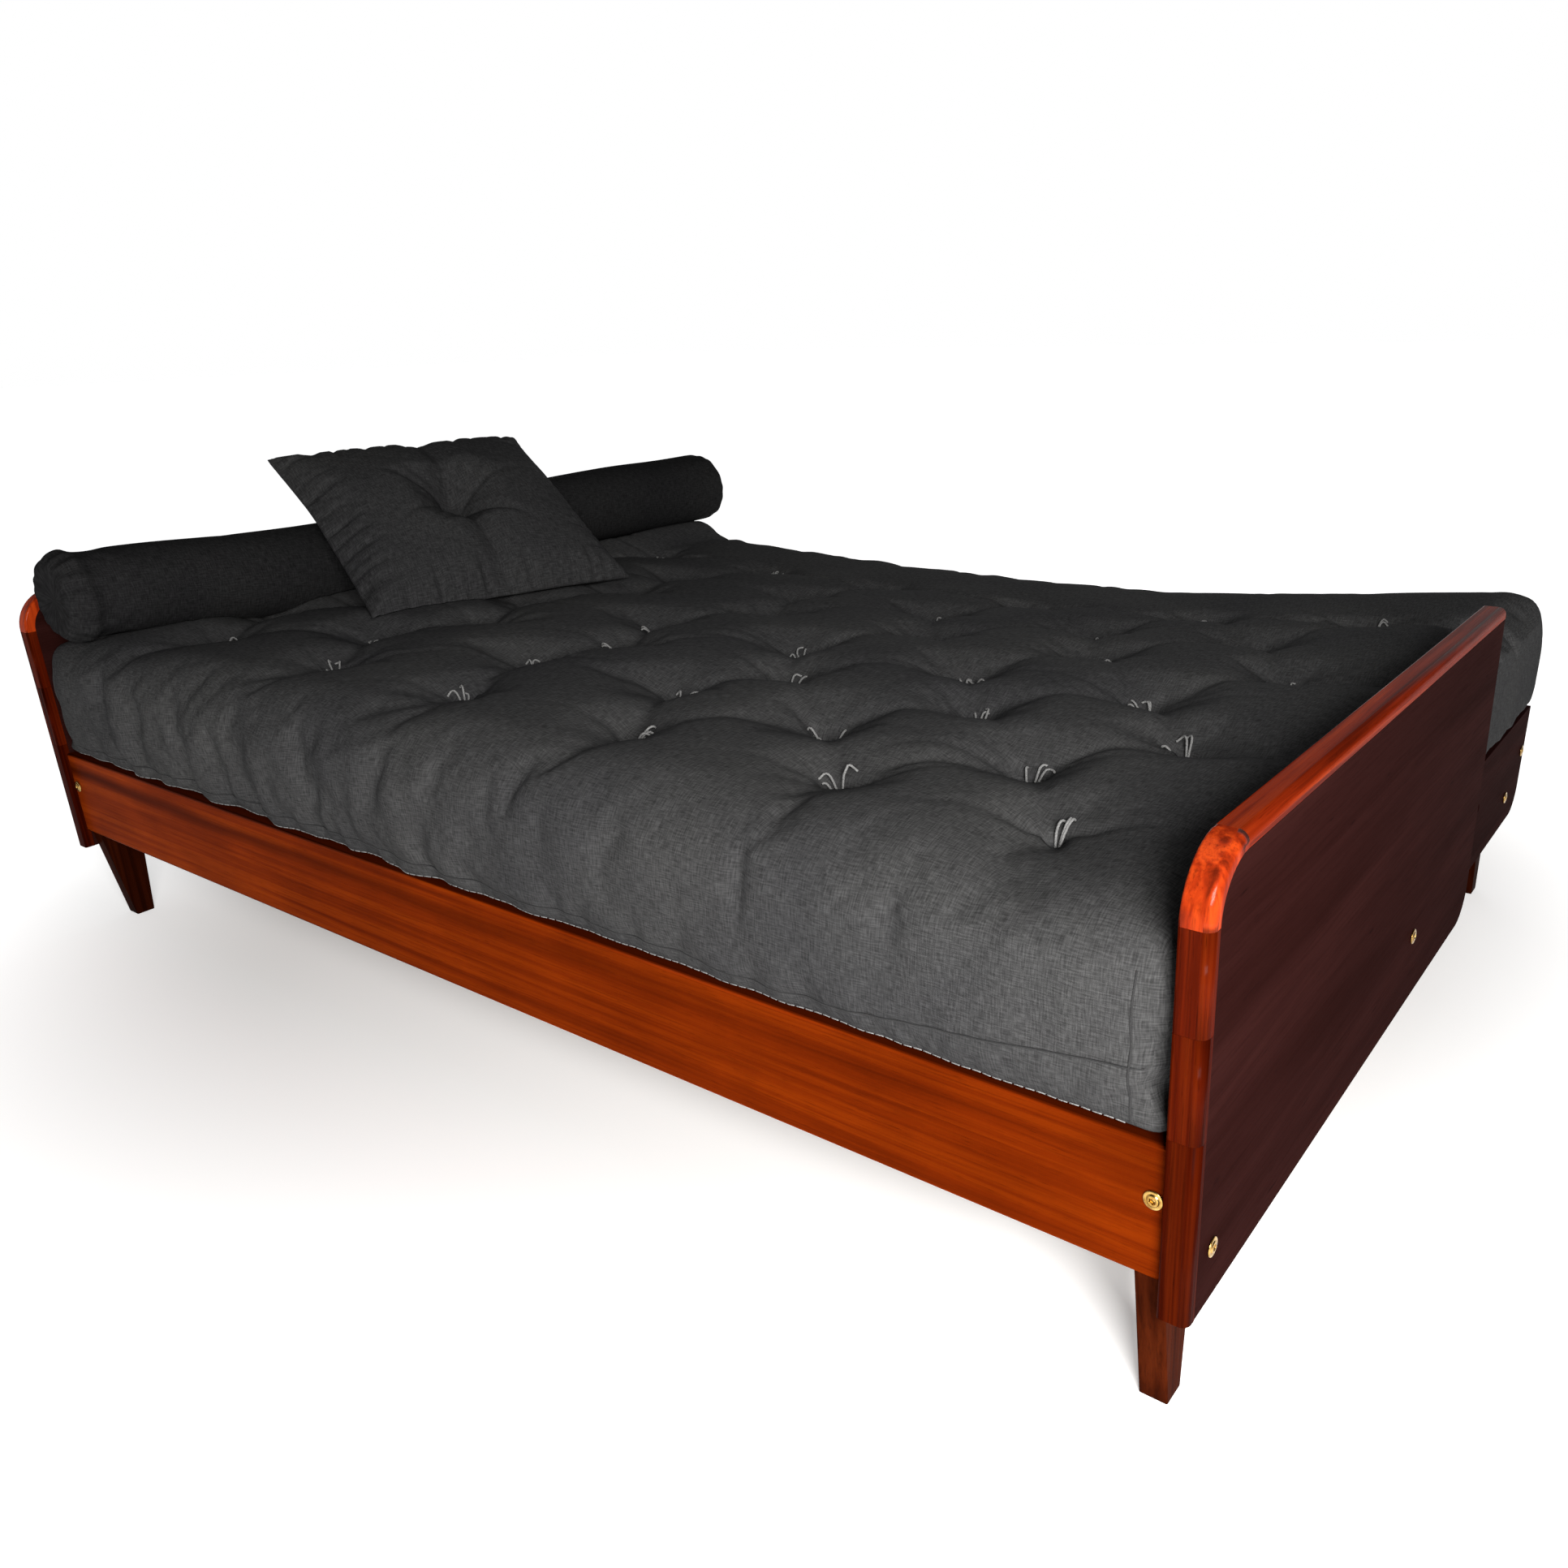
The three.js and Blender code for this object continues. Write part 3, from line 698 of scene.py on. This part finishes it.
def slab_grid(low, high):
    """The top, the sides and the rim of the underside of a slab, as a grid: points and faces."""
    size = high - low
    counts = [round(length / CELL) for length in size]
    index, points, faces = {}, [], []

    def vertex(i, j, k):
        key = (i, j, k)
        if key not in index:
            index[key] = len(points)
            points.append([low[a] + size[a] * n / counts[a] for a, n in enumerate(key)])
        return index[key]

    nx, ny, nz = counts
    for i in range(nx):
        for j in range(ny):
            corners = [(i, j), (i + 1, j), (i + 1, j + 1), (i, j + 1)]
            faces.append([vertex(a, b, nz) for a, b in corners])
            if i in (0, nx - 1) or j in (0, ny - 1):
                faces.append([vertex(a, b, 0) for a, b in reversed(corners)])
    for k in range(nz):
        for i in range(nx):
            front = [(i, 0, k), (i + 1, 0, k), (i + 1, 0, k + 1), (i, 0, k + 1)]
            back = [(i + 1, ny, k), (i, ny, k), (i, ny, k + 1), (i + 1, ny, k + 1)]
            faces.append([vertex(*corner) for corner in front])
            faces.append([vertex(*corner) for corner in back])
        for j in range(ny):
            head = [(0, j + 1, k), (0, j, k), (0, j, k + 1), (0, j + 1, k + 1)]
            foot = [(nx, j, k), (nx, j + 1, k), (nx, j + 1, k + 1), (nx, j, k + 1)]
            faces.append([vertex(*corner) for corner in head])
            faces.append([vertex(*corner) for corner in foot])
    return np.array(points), faces


def rounded(points, low, high):
    """Bends the edges and corners of a box's points to their radii."""
    side = FOOT_INSET + (SIDE_ROUND - FOOT_INSET) * unit(points[:, 2], low.z + 0.012, low.z + 0.05)
    below = np.column_stack([side, side, np.full(len(points), FOOT_ROUND)])
    above = np.column_stack([side, side, np.full(len(points), TOP_ROUND)])
    inner = np.clip(points, np.array(low) + below, np.array(high) - above)
    off = points - inner
    radii = np.where(off < 0, below, above)
    scaled = off / radii
    length = np.linalg.norm(scaled, axis=1)
    length[length < 1e-9] = 1
    return inner + scaled / length[:, None] * radii


def rear_droop(x, y):
    """How far the top lies below its front edge: it sags to the rear, but not under the bolster."""
    middle = 0.12
    span = np.where(x < middle, 1.5, 0.80)
    depth = REAR_SAG - REAR_SAG * ((x - middle) / span) ** 2
    depth = np.maximum(depth, 0.003) * unit(x, -0.85, -0.74)
    return depth * unit(y, -0.30, 0.66)


def futon_top(points, tufts):
    """Height added to each point of the top: crown, sag, tufts and the valleys between them."""
    x, y = points[:, 0], points[:, 1]
    height = CROWN * (1 - np.abs(x / 0.946) ** 8) * (1 - np.abs(y / 0.70) ** 4) - rear_droop(x, y)
    for tuft_x, tuft_y in tufts:
        away = np.hypot(x - tuft_x, y - tuft_y)
        height -= TUFT_BOWL * np.exp(-((away / 0.075) ** 1.6))
        height -= TUFT_PIT * np.exp(-((away / 0.020) ** 1.2))
    for (ax, ay), (bx, by) in neighbours(tufts):
        length = math.hypot(bx - ax, by - ay)
        ux, uy = (bx - ax) / length, (by - ay) / length
        along = (x - ax) * ux + (y - ay) * uy
        across = np.abs((y - ay) * ux - (x - ax) * uy)
        ends = np.exp(-np.minimum(along, length - along).clip(0) / 0.055)
        inside = (along > -0.02) & (along < length + 0.02)
        height -= inside * (VALLEY + VALLEY_ENDS * ends) * np.exp(-((across / 0.020) ** 1.2))
    return height


def rear_bulge(points, low, high):
    """How far the rear side swells out near the foot end, where nothing holds the futon in."""
    x, y, z = points.T
    share = np.clip((z - low.z) / (high.z - low.z), 0, 1)
    return 0.026 * unit(x, 0.25, 0.85) * unit(y, 0.60, 0.68) * np.sin(math.pi * share)


def neighbours(tufts):
    """Pairs of tufts next to each other on the diagonals of the pattern."""
    pairs = []
    for i, a in enumerate(tufts):
        for b in tufts[i + 1:]:
            if 0.08 < abs(b[1] - a[1]) < 0.22 and abs(b[0] - a[0]) < 0.22:
                pairs.append((a, b))
    return pairs


def side_puckers(points, normals, low, high):
    """How far the upright sides swell or pinch: soft upright folds, more of them at the head end."""
    out = np.zeros(len(points))
    for i, (x, y, z) in enumerate(points):
        if abs(normals[i][2]) > 0.8:
            continue
        run = x if abs(normals[i][1]) > abs(normals[i][0]) else y
        share = (z - low.z) / (high.z - low.z)
        strength = PUCKER[0] + PUCKER[1] * float(unit(x, 0.25, -0.05)) * float(unit(x, -0.93, -0.75))
        fold = wobble((run, 0.25 * z, 0), 0.055, 3.0) + 0.5 * wobble((run, z, 0), 0.024, 9.0)
        swell = 0.5 * wobble((run, z, 0), 0.22, 5.0)
        height = math.sin(math.pi * min(1, 0.06 + share)) ** 0.5
        out[i] = (strength * fold + 0.008 * swell) * height
    return out


def tuft_creases(points, tufts):
    """Sharp little folds that run out from each tuft, a few millimetres deep."""
    x, y = points[:, 0], points[:, 1]
    depth = np.zeros(len(points))
    for tuft_x, tuft_y in tufts:
        near = np.hypot(x - tuft_x, y - tuft_y) < 0.16
        dx, dy = x[near] - tuft_x, y[near] - tuft_y
        angles = [rng.uniform(-0.35, 0.35), math.pi + rng.uniform(-0.35, 0.35)]
        angles += [rng.uniform(0, 2 * math.pi) for _ in range(4)]
        for number, angle in enumerate(angles):
            reach = rng.uniform(*(LONG_CREASE if number < 2 else SHORT_CREASE))
            bend = rng.uniform(-2.5, 2.5)
            along = dx * math.cos(angle) + dy * math.sin(angle)
            across = dy * math.cos(angle) - dx * math.sin(angle) - bend * along**2
            fold = np.exp(-np.maximum(along, 0) / reach) * (along > -0.004)
            depth[near] += CREASE_DEPTH * fold * np.exp(-((across / 0.0070) ** 2))
            depth[near] -= 0.0025 * fold * np.exp(-(((across - 0.015) / 0.010) ** 2))
    return depth


def box_uv(piece):
    """A UV map in metres, from whichever side of a box each face looks out of."""
    mesh = piece.data
    layer = mesh.uv_layers.new(name="weave")
    points = points_of(piece)
    uv = np.empty((len(mesh.loops), 2))
    for polygon in mesh.polygons:
        normal = [abs(value) for value in polygon.normal]
        axes = {0: (1, 2), 1: (0, 2), 2: (0, 1)}[normal.index(max(normal))]
        for loop in polygon.loop_indices:
            uv[loop] = points[mesh.loops[loop].vertex_index][list(axes)]
    layer.data.foreach_set("uv", uv.ravel())


def close_foot(piece):
    """Closes the open underside of the futon with one flat face."""
    shape = bmesh.new()
    shape.from_mesh(piece.data)
    rim = [edge for edge in shape.edges if edge.is_boundary]
    bmesh.ops.contextual_create(shape, geom=rim)
    bmesh.ops.recalc_face_normals(shape, faces=shape.faces)
    shape.to_mesh(piece.data)
    shape.free()


def press_under(points, resting, clearance, shares):
    """Presses the top down where a resting piece lies on it.

    The shares are those of the futon's depth, while it is squashed, at which the piece lies on it.
    """
    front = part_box("mattress")[0].y
    tree = BVHTree.FromObject(resting, bpy.context.evaluated_depsgraph_get())
    low, high = Vector(resting.bound_box[0]), Vector(resting.bound_box[6])
    for i, point in enumerate(points):
        if not low.x < point[0] < high.x:
            continue
        for share in shares:
            y = front + share * (point[1] - front)
            if not low.y < y < high.y:
                continue
            found = tree.ray_cast(Vector((point[0], y, 0.30)), Vector((0, 0, 1)))[0]
            if found is not None and points[i][2] > found.z - clearance:
                points[i][2] = max(found.z - clearance, 0.33)
    return points


def make_futon(tufts, cover, resting):
    low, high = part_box("mattress")
    points, faces = slab_grid(low, high)
    points = rounded(points, low, high)
    top = unit(points[:, 2], low.z + 0.06, high.z - 0.01)
    points[:, 2] += top * futon_top(points, tufts)
    points[:, 1] += rear_bulge(points, low, high)
    piece = new_piece("futon", points, faces, cover)
    normals = points_of(piece, "normal")
    swell = side_puckers(points, normals, low, high)
    points += normals * swell[:, None]
    move_points(piece, points)

    distance = np.min([np.hypot(points[:, 0] - x, points[:, 1] - y) for x, y in tufts], axis=0)
    tufted = (distance < 0.010) & (points[:, 2] > low.z + 0.09)
    pins = np.flatnonzero(tufted | (points[:, 2] < low.z + 0.010))
    simulate(piece, pins, pressure=4.0, frames=20, cap=0.014, spread=0.03, bending=0.3)
    subdivide(piece)
    points = points_of(piece)
    upper = unit(points[:, 2], low.z + 0.07, low.z + 0.11)
    points[:, 2] -= upper * tuft_creases(points, tufts)
    for other, shares in resting:
        points = press_under(points, other, 0.001, shares)
    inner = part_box("front_rail")[1].x - 0.0005
    points[:, 0] = np.clip(points[:, 0], -inner, inner)
    points[:, 2] = np.maximum(points[:, 2], low.z)
    move_points(piece, points)
    close_foot(piece)
    piece.data.polygons.foreach_set("use_smooth", [True] * len(piece.data.polygons))
    box_uv(piece)
    return piece


def on_surface(tree, start, direction, lift):
    """The point where a ray meets a surface, lifted off it a little."""
    place, normal, _, _ = tree.ray_cast(Vector(start), Vector(direction))
    if place is None:
        return None
    return place + normal * lift


def futon_seams(futon, material):
    """The stitched seam round the futon's sides and its upright corner seams, as fine cord."""
    tree = BVHTree.FromObject(futon, bpy.context.evaluated_depsgraph_get())
    low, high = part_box("mattress")
    parts, front, back = [], [], []
    steps = 230
    for i in range(steps + 1):
        x = low.x + 0.02 + (high.x - low.x - 0.04) * i / steps
        rise = 0.040 * unit(x, 0.55, 0.93) + 0.003 * wobble((x, 0, 0), 0.15, 2.0)
        front.append(((x, low.y - 0.2, low.z + 0.024 + rise), (0, 1, 0)))
        rise = 0.003 * wobble((x, 0, 0), 0.2)
        back.append(((x, high.y + 0.3, low.z + 0.028 + rise), (0, -1, 0)))
    lines = [front, back]
    for sign, edge in ((-1, low.x), (1, high.x)):
        for corner_y, direction in ((low.y, 1), (high.y, -1)):
            upright = []
            for i in range(25):
                z = low.z + 0.012 + 0.135 * i / 24
                x = edge - sign * 0.031 + 0.0015 * wobble((0, 0, z), 0.03, corner_y)
                upright.append(((x, corner_y - direction * 0.3, z), (0, direction, 0)))
            lines.append(upright)
    for line in lines:
        found = [on_surface(tree, start, direction, 0.0001) for start, direction in line]
        found = [point for point in found if point is not None]
        if len(found) > 2:
            parts.append(tube(found, SEAM_RADIUS, 5))
    return new_piece("futon_seams", *joined(parts), material)


def futon_hem(futon, material):
    """The pale overlocked hem along the lower front edge, in short stitches."""
    tree = BVHTree.FromObject(futon, bpy.context.evaluated_depsgraph_get())
    low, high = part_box("mattress")
    stitch, pitch = 0.0085, 0.0105
    count = int((high.x - low.x - 0.06) / pitch)
    parts = []
    for i in range(count):
        start = low.x + 0.03 + i * pitch
        rise = 0.0055 + 0.0015 * wobble((start, 0, 0), 0.05, 4.0)
        found = []
        for step in range(4):
            place = (start + stitch * step / 3, low.y - 0.2, low.z + rise)
            found.append(on_surface(tree, place, (0, 1, 0), 0.0002))
        if None not in found:
            parts.append(tube(found, HEM_RADIUS, 5))
    return new_piece("futon_hem", *joined(parts), material)


def tie_strand(tree, centre, angle, length, height, bow):
    """Points of one loop or tail of a tuft's tie, which springs from the knot and lies on the cloth."""
    points = []
    steps = 10
    for i in range(steps + 1):
        t = i / steps
        out = length * math.sin(0.5 * math.pi * t)
        side = bow * math.sin(math.pi * t)
        x = centre.x + out * math.cos(angle) - side * math.sin(angle)
        y = centre.y + out * math.sin(angle) + side * math.cos(angle)
        cloth = on_surface(tree, (x, y, 1.0), (0, 0, -1), 0.0014)
        points.append(cloth + Vector((0, 0, height * math.sin(math.pi * t) ** 2)))
    return points


def futon_ties(futon, tufts, material):
    """The knotted loops of cord that hold each tuft."""
    tree = BVHTree.FromObject(futon, bpy.context.evaluated_depsgraph_get())
    parts = []
    for x, y in tufts:
        centre = on_surface(tree, (x, y, 1.0), (0, 0, -1), 0.0016)
        turn = 2.2 + rng.uniform(-1.1, 1.1)
        for _ in range(rng.choice((3, 3, 4))):
            angle = turn + rng.uniform(-1.3, 1.3)
            length = rng.uniform(0.015, 0.034)
            height = rng.uniform(0.003, 0.009)
            bow = rng.uniform(-0.009, 0.009)
            strand = tie_strand(tree, centre, angle, length, height, bow)
            parts.append(tube(strand, TIE_RADIUS, 6))
        knot = []
        for i in range(9):
            a = 0.8 * i
            knot.append(centre + Vector((0.004 * math.cos(a), 0.003 * math.sin(a), 0.001 + 0.0003 * i)))
        parts.append(tube(knot, 0.0016, 6))
    return new_piece("futon_ties", *joined(parts), material)


# ---------------------------------------------------------------- bolster


BOLSTER_AROUND = 72
NEAR_SHOULDER = 0.034  # length of its rounded front end
FAR_SHOULDER = 0.020
FAR_REACH = 0.016  # how far the stuffing pushes its rear end out
PLEATS = 15
PLEAT_DEPTH = 0.0036  # at the front end
FAR_PLEATS = 0.35  # share of that at the rear end
BOLSTER_DIP = 0.022  # how far the cushion's weight bends it down


def end_rings(shoulder):
    """Distances from an end and shares of the radius, from the middle of the end to the body."""
    rings = [(0.004 * (1 - (share / 0.7) ** 2), share) for share in (0, 0.12, 0.26, 0.4, 0.53, 0.64)]
    for i in range(8):
        angle = 0.5 * math.pi * i / 7
        rings.append((shoulder * (1 - math.cos(angle)), 0.72 + 0.28 * math.sin(angle)))
    return rings


def bolster_points(low, high):
    """Rings of a stuffed roll from end to end, with gathered shoulders and slightly sunk ends."""
    radius = 0.5 * (high.x - low.x)
    middle_x, middle_z = 0.5 * (low.x + high.x), 0.5 * (low.z + high.z)
    length = high.y - low.y + FAR_REACH
    body = round((length - NEAR_SHOULDER - FAR_SHOULDER) / 0.011)
    span = length - NEAR_SHOULDER - FAR_SHOULDER
    profile = end_rings(NEAR_SHOULDER)
    profile += [(NEAR_SHOULDER + span * i / body, 1.0) for i in range(1, body)]
    profile += [(length - along, share) for along, share in reversed(end_rings(FAR_SHOULDER))]
    points = []
    for along, share in profile:
        end = min(along, length - along)
        swell = 0.93 + 0.07 * unit(along, 0.0, 0.35)
        centre_z = middle_z + bolster_sag(along / length)
        for k in range(BOLSTER_AROUND):
            angle = 2 * math.pi * k / BOLSTER_AROUND
            r = radius * share * swell
            gather = math.exp(-(((end - 0.022) / 0.030) ** 2)) * unit(share, 0.45, 0.8)
            phase = PLEATS * angle + 2.2 * wobble((math.cos(angle), math.sin(angle), along), 0.6)
            near = 1.0 if along < 0.5 * length else FAR_PLEATS
            r += PLEAT_DEPTH * near * gather * math.sin(phase)
            lump = (math.cos(angle), math.sin(angle), 5 * along)
            r += 0.0022 * wobble(lump, 0.7, 4.0) * unit(share, 0.8, 1.0)
            flat = 1 - 0.04 * max(0.0, -math.sin(angle)) ** 3
            x = middle_x + r * math.cos(angle)
            z = centre_z + r * flat * math.sin(angle)
            points.append((x, low.y + along, z))
    return points, len(profile)


def bolster_sag(share):
    """The roll dips where the cushion weighs on it, and its ends ride up on the futon."""
    return -0.001 - BOLSTER_DIP * math.exp(-(((share - 0.30) / 0.20) ** 2))


def make_bolster(cover):
    low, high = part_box("bolster")
    points, rings = bolster_points(low, high)
    around = BOLSTER_AROUND
    faces = []
    for i in range(rings - 1):
        for k in range(around):
            a, b = i * around + k, i * around + (k + 1) % around
            faces.append((a, a + around, b + around, b))
    # Each end's inmost ring has no radius: it closes on one point.
    piece = new_piece("bolster_roll", points, faces, cover)
    layer = piece.data.uv_layers.new(name="weave")
    girth = math.pi * (high.z - low.z)
    for polygon in piece.data.polygons:
        for loop in polygon.loop_indices:
            vertex = piece.data.loops[loop].vertex_index
            k = vertex % around
            if k == 0 and any(v % around == around - 1 for v in polygon.vertices):
                k = around
            along = points[vertex][1]
            layer.data[loop].uv = (along, girth * k / around)
    shape = bmesh.new()
    shape.from_mesh(piece.data)
    bmesh.ops.remove_doubles(shape, verts=shape.verts, dist=1e-6)
    bmesh.ops.recalc_face_normals(shape, faces=shape.faces)
    shape.to_mesh(piece.data)
    shape.free()
    start = points_of(piece)
    ends = np.minimum(start[:, 1] - low.y, high.y - start[:, 1])
    pins = np.flatnonzero(ends < 0.012)
    simulate(piece, pins, pressure=2.5, frames=14, cap=0.005, spread=0.01, bending=0.8)
    subdivide(piece)
    return piece


# ---------------------------------------------------------------- cushion


CUSHION_CELLS = 58
CUSHION_HALF = 0.235  # half its side
CUSHION_EDGE = 0.016  # thickness that rises steeply from its seam
CUSHION_CROWN = 0.040  # and that which rises gently to its middle
CUSHION_VALLEY = 0.030
CUSHION_CREASES = ((0.35, 0.30), (2.5, 0.24), (3.6, 0.34), (5.5, 0.26))  # direction and length
CREASE_AT_TUFT = 0.011
EDGE_PUCKER = 0.016
CUSHION_THICKEST = 0.068
CUSHION_LEAN = 0.020  # how far its top edge leans back


def far_corner(node_name, direction):
    """The point of a CAD node that lies furthest in a direction."""
    aim = Vector(direction)
    return max((v.co for v in frame["nodes"][node_name].data.vertices), key=lambda co: co.dot(aim))


def cushion_sheet_point(s, t, side):
    """A point of the cushion's upper or lower sheet, in metres, before it is stuffed."""
    pinch = 0.025  # how far its sides draw in between its corners
    x = CUSHION_HALF * s * (1 - pinch * (1 - t * t))
    y = CUSHION_HALF * t * (1 - pinch * (1 - s * s))
    crown = CUSHION_CROWN * (1 - s * s) * (1 - t * t)
    z = CUSHION_EDGE * ((1 - s * s) * (1 - t * t)) ** 0.5 + crown
    away = math.hypot(s, t)
    z *= 1 - 0.75 * math.exp(-((away / 0.16) ** 1.5))
    z += 0.0016 * wobble((3 * s, 3 * t, side), 0.25, 7.0) * (1 - max(abs(s), abs(t)) ** 6)
    return x, y, side * max(z, 0)


def make_cushion(cover):
    count = CUSHION_CELLS
    points, faces, index = [], [], {}

    def vertex(i, j, side):
        edge = i in (0, count) or j in (0, count)
        key = (i, j, 0 if edge else side)
        if key not in index:
            index[key] = len(points)
            s, t = 2 * i / count - 1, 2 * j / count - 1
            points.append(cushion_sheet_point(s, t, side))
        return index[key]

    uv = []
    for side in (1, -1):
        for i in range(count):
            for j in range(count):
                corners = [(i, j), (i + 1, j), (i + 1, j + 1), (i, j + 1)]
                if side < 0:
                    corners.reverse()
                faces.append([vertex(a, b, side) for a, b in corners])
                uv += [(2 * CUSHION_HALF * a / count, 2 * CUSHION_HALF * b / count) for a, b in corners]
    piece = new_piece("scatter_cushion", points, faces, cover)
    layer = piece.data.uv_layers.new(name="weave")
    layer.data.foreach_set("uv", [value for pair in uv for value in pair])
    start = points_of(piece)
    pins = np.flatnonzero(np.hypot(start[:, 0], start[:, 1]) < 0.010)
    simulate(piece, pins, pressure=6.0, frames=20, cap=0.022, spread=0.015, bending=0.15)
    stuffed = points_of(piece)
    stuffed[:, :2] += 0.75 * (start - stuffed)[:, :2]  # its stiff seam holds the outline
    move_points(piece, stuffed)
    subdivide(piece)
    crease_cushion(piece)
    place_cushion(piece)
    return piece


def crease_cushion(piece):
    """Folds that only the front of the cushion shows: a valley through its tuft, and edge puckers."""
    points = points_of(piece)
    reach = np.abs(points[:, :2]).max(axis=0)
    for i, (x, y, z) in enumerate(points):
        s, t = x / reach[0], y / reach[1]
        if z <= 0:
            continue
        bend = 0.05 * math.sin(2.2 * t + 0.4) - 0.10 * t * (t < 0)
        valley = math.exp(-((abs(s - bend) / 0.10) ** 1.4))
        depth = CUSHION_VALLEY * valley * (0.40 + 0.60 * math.exp(-abs(t) / 0.35)) * (1 - t**6)
        for angle, length in CUSHION_CREASES:
            along = s * math.cos(angle) + t * math.sin(angle)
            across = t * math.cos(angle) - s * math.sin(angle)
            if along > 0:
                depth += CREASE_AT_TUFT * math.exp(-along / length - (across / 0.030) ** 2)
        rim = max(abs(s), abs(t))
        run = s if abs(t) > abs(s) else t
        pucker = float(unit(rim, 0.62, 0.88)) * float(unit(rim, 1.0, 0.94))
        depth += EDGE_PUCKER * pucker * max(0.0, wobble((run, 2.0 * (t > s), 0), 0.085, 6.0))
        points[i][2] = z - min(depth, 0.9 * z)
    move_points(piece, points)


def place_cushion(piece):
    """Lays the stuffed cushion in the four corners of its CAD solid, leaning back on the bolster."""
    near_low = far_corner("cushion", (1, -0.8, -1))
    rear_low = far_corner("cushion", (1, 0.8, -1))
    rear_high = far_corner("cushion", (-1, 0.8, 1))
    near_high = far_corner("cushion", (-1, -0.8, 1))
    facing = (rear_high - near_low).cross(near_high - rear_low).normalized()
    points = points_of(piece)
    reach = np.abs(points[:, :2]).max(axis=0)
    thickest = np.abs(points[:, 2]).max()
    scale = min(1.0, CUSHION_THICKEST / thickest)
    placed = []
    for x, y, z in points:
        s, t = 0.5 + 0.5 * x / reach[0], 0.5 + 0.5 * y / reach[1]
        low = near_low.lerp(rear_low, s)
        high = near_high.lerp(rear_high, s)
        lean = -CUSHION_LEAN * unit(t, 0.55, 1.0) - 0.004 * math.sin(math.pi * t)
        placed.append(low.lerp(high, t) + facing * (z * scale + float(lean)))
    move_points(piece, placed)


# ---------------------------------------------------------------- the whole daybed


def make_soft_goods():
    charcoal = (0.0400, 0.0400, 0.0406)
    cover = woven_material("futon_cover", charcoal, 0.0016, 1.0, 0.00010)
    canvas = woven_material("cushion_canvas", (0.0300, 0.0300, 0.0306), 0.0021, 0.8, 0.00012)
    # Painted shade: the bolster's canvas is the cushion's cloth at half its brightness
    canvas_painted_shade = woven_material("bolster_canvas", (0.0150, 0.0150, 0.0154), 0.0021, 0.8, 0.00012)
    thread = thread_material("tuft_cord", (0.190, 0.190, 0.188))
    piping = thread_material("seam_thread", (0.012, 0.012, 0.0125))

    bolster = make_bolster(canvas_painted_shade)
    cushion = make_cushion(canvas)
    tufts = tuft_places()
    squashed = np.linspace(1.0, MATTRESS_KEPT, 6)
    futon = make_futon(tufts, cover, [(bolster, squashed), (cushion, (1.0,))])
    shown = [(x, y) for x, y in tufts if x > -0.76 or y < -0.6]
    ties = futon_ties(futon, shown, thread)
    seams = futon_seams(futon, piping)
    hem = futon_hem(futon, thread)

    soft_piece(futon, "mattress")
    soft_piece(bolster, "bolster")
    soft_piece(cushion, "cushion")
    for piece in (ties, seams, hem):
        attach(piece, "mattress")
    # Each of these pieces gets a mesh of its own.
    for piece in (futon, ties, seams, hem):
        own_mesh(piece)


make_camera()
make_stage()
make_woodwork()
make_fittings()
make_soft_goods()
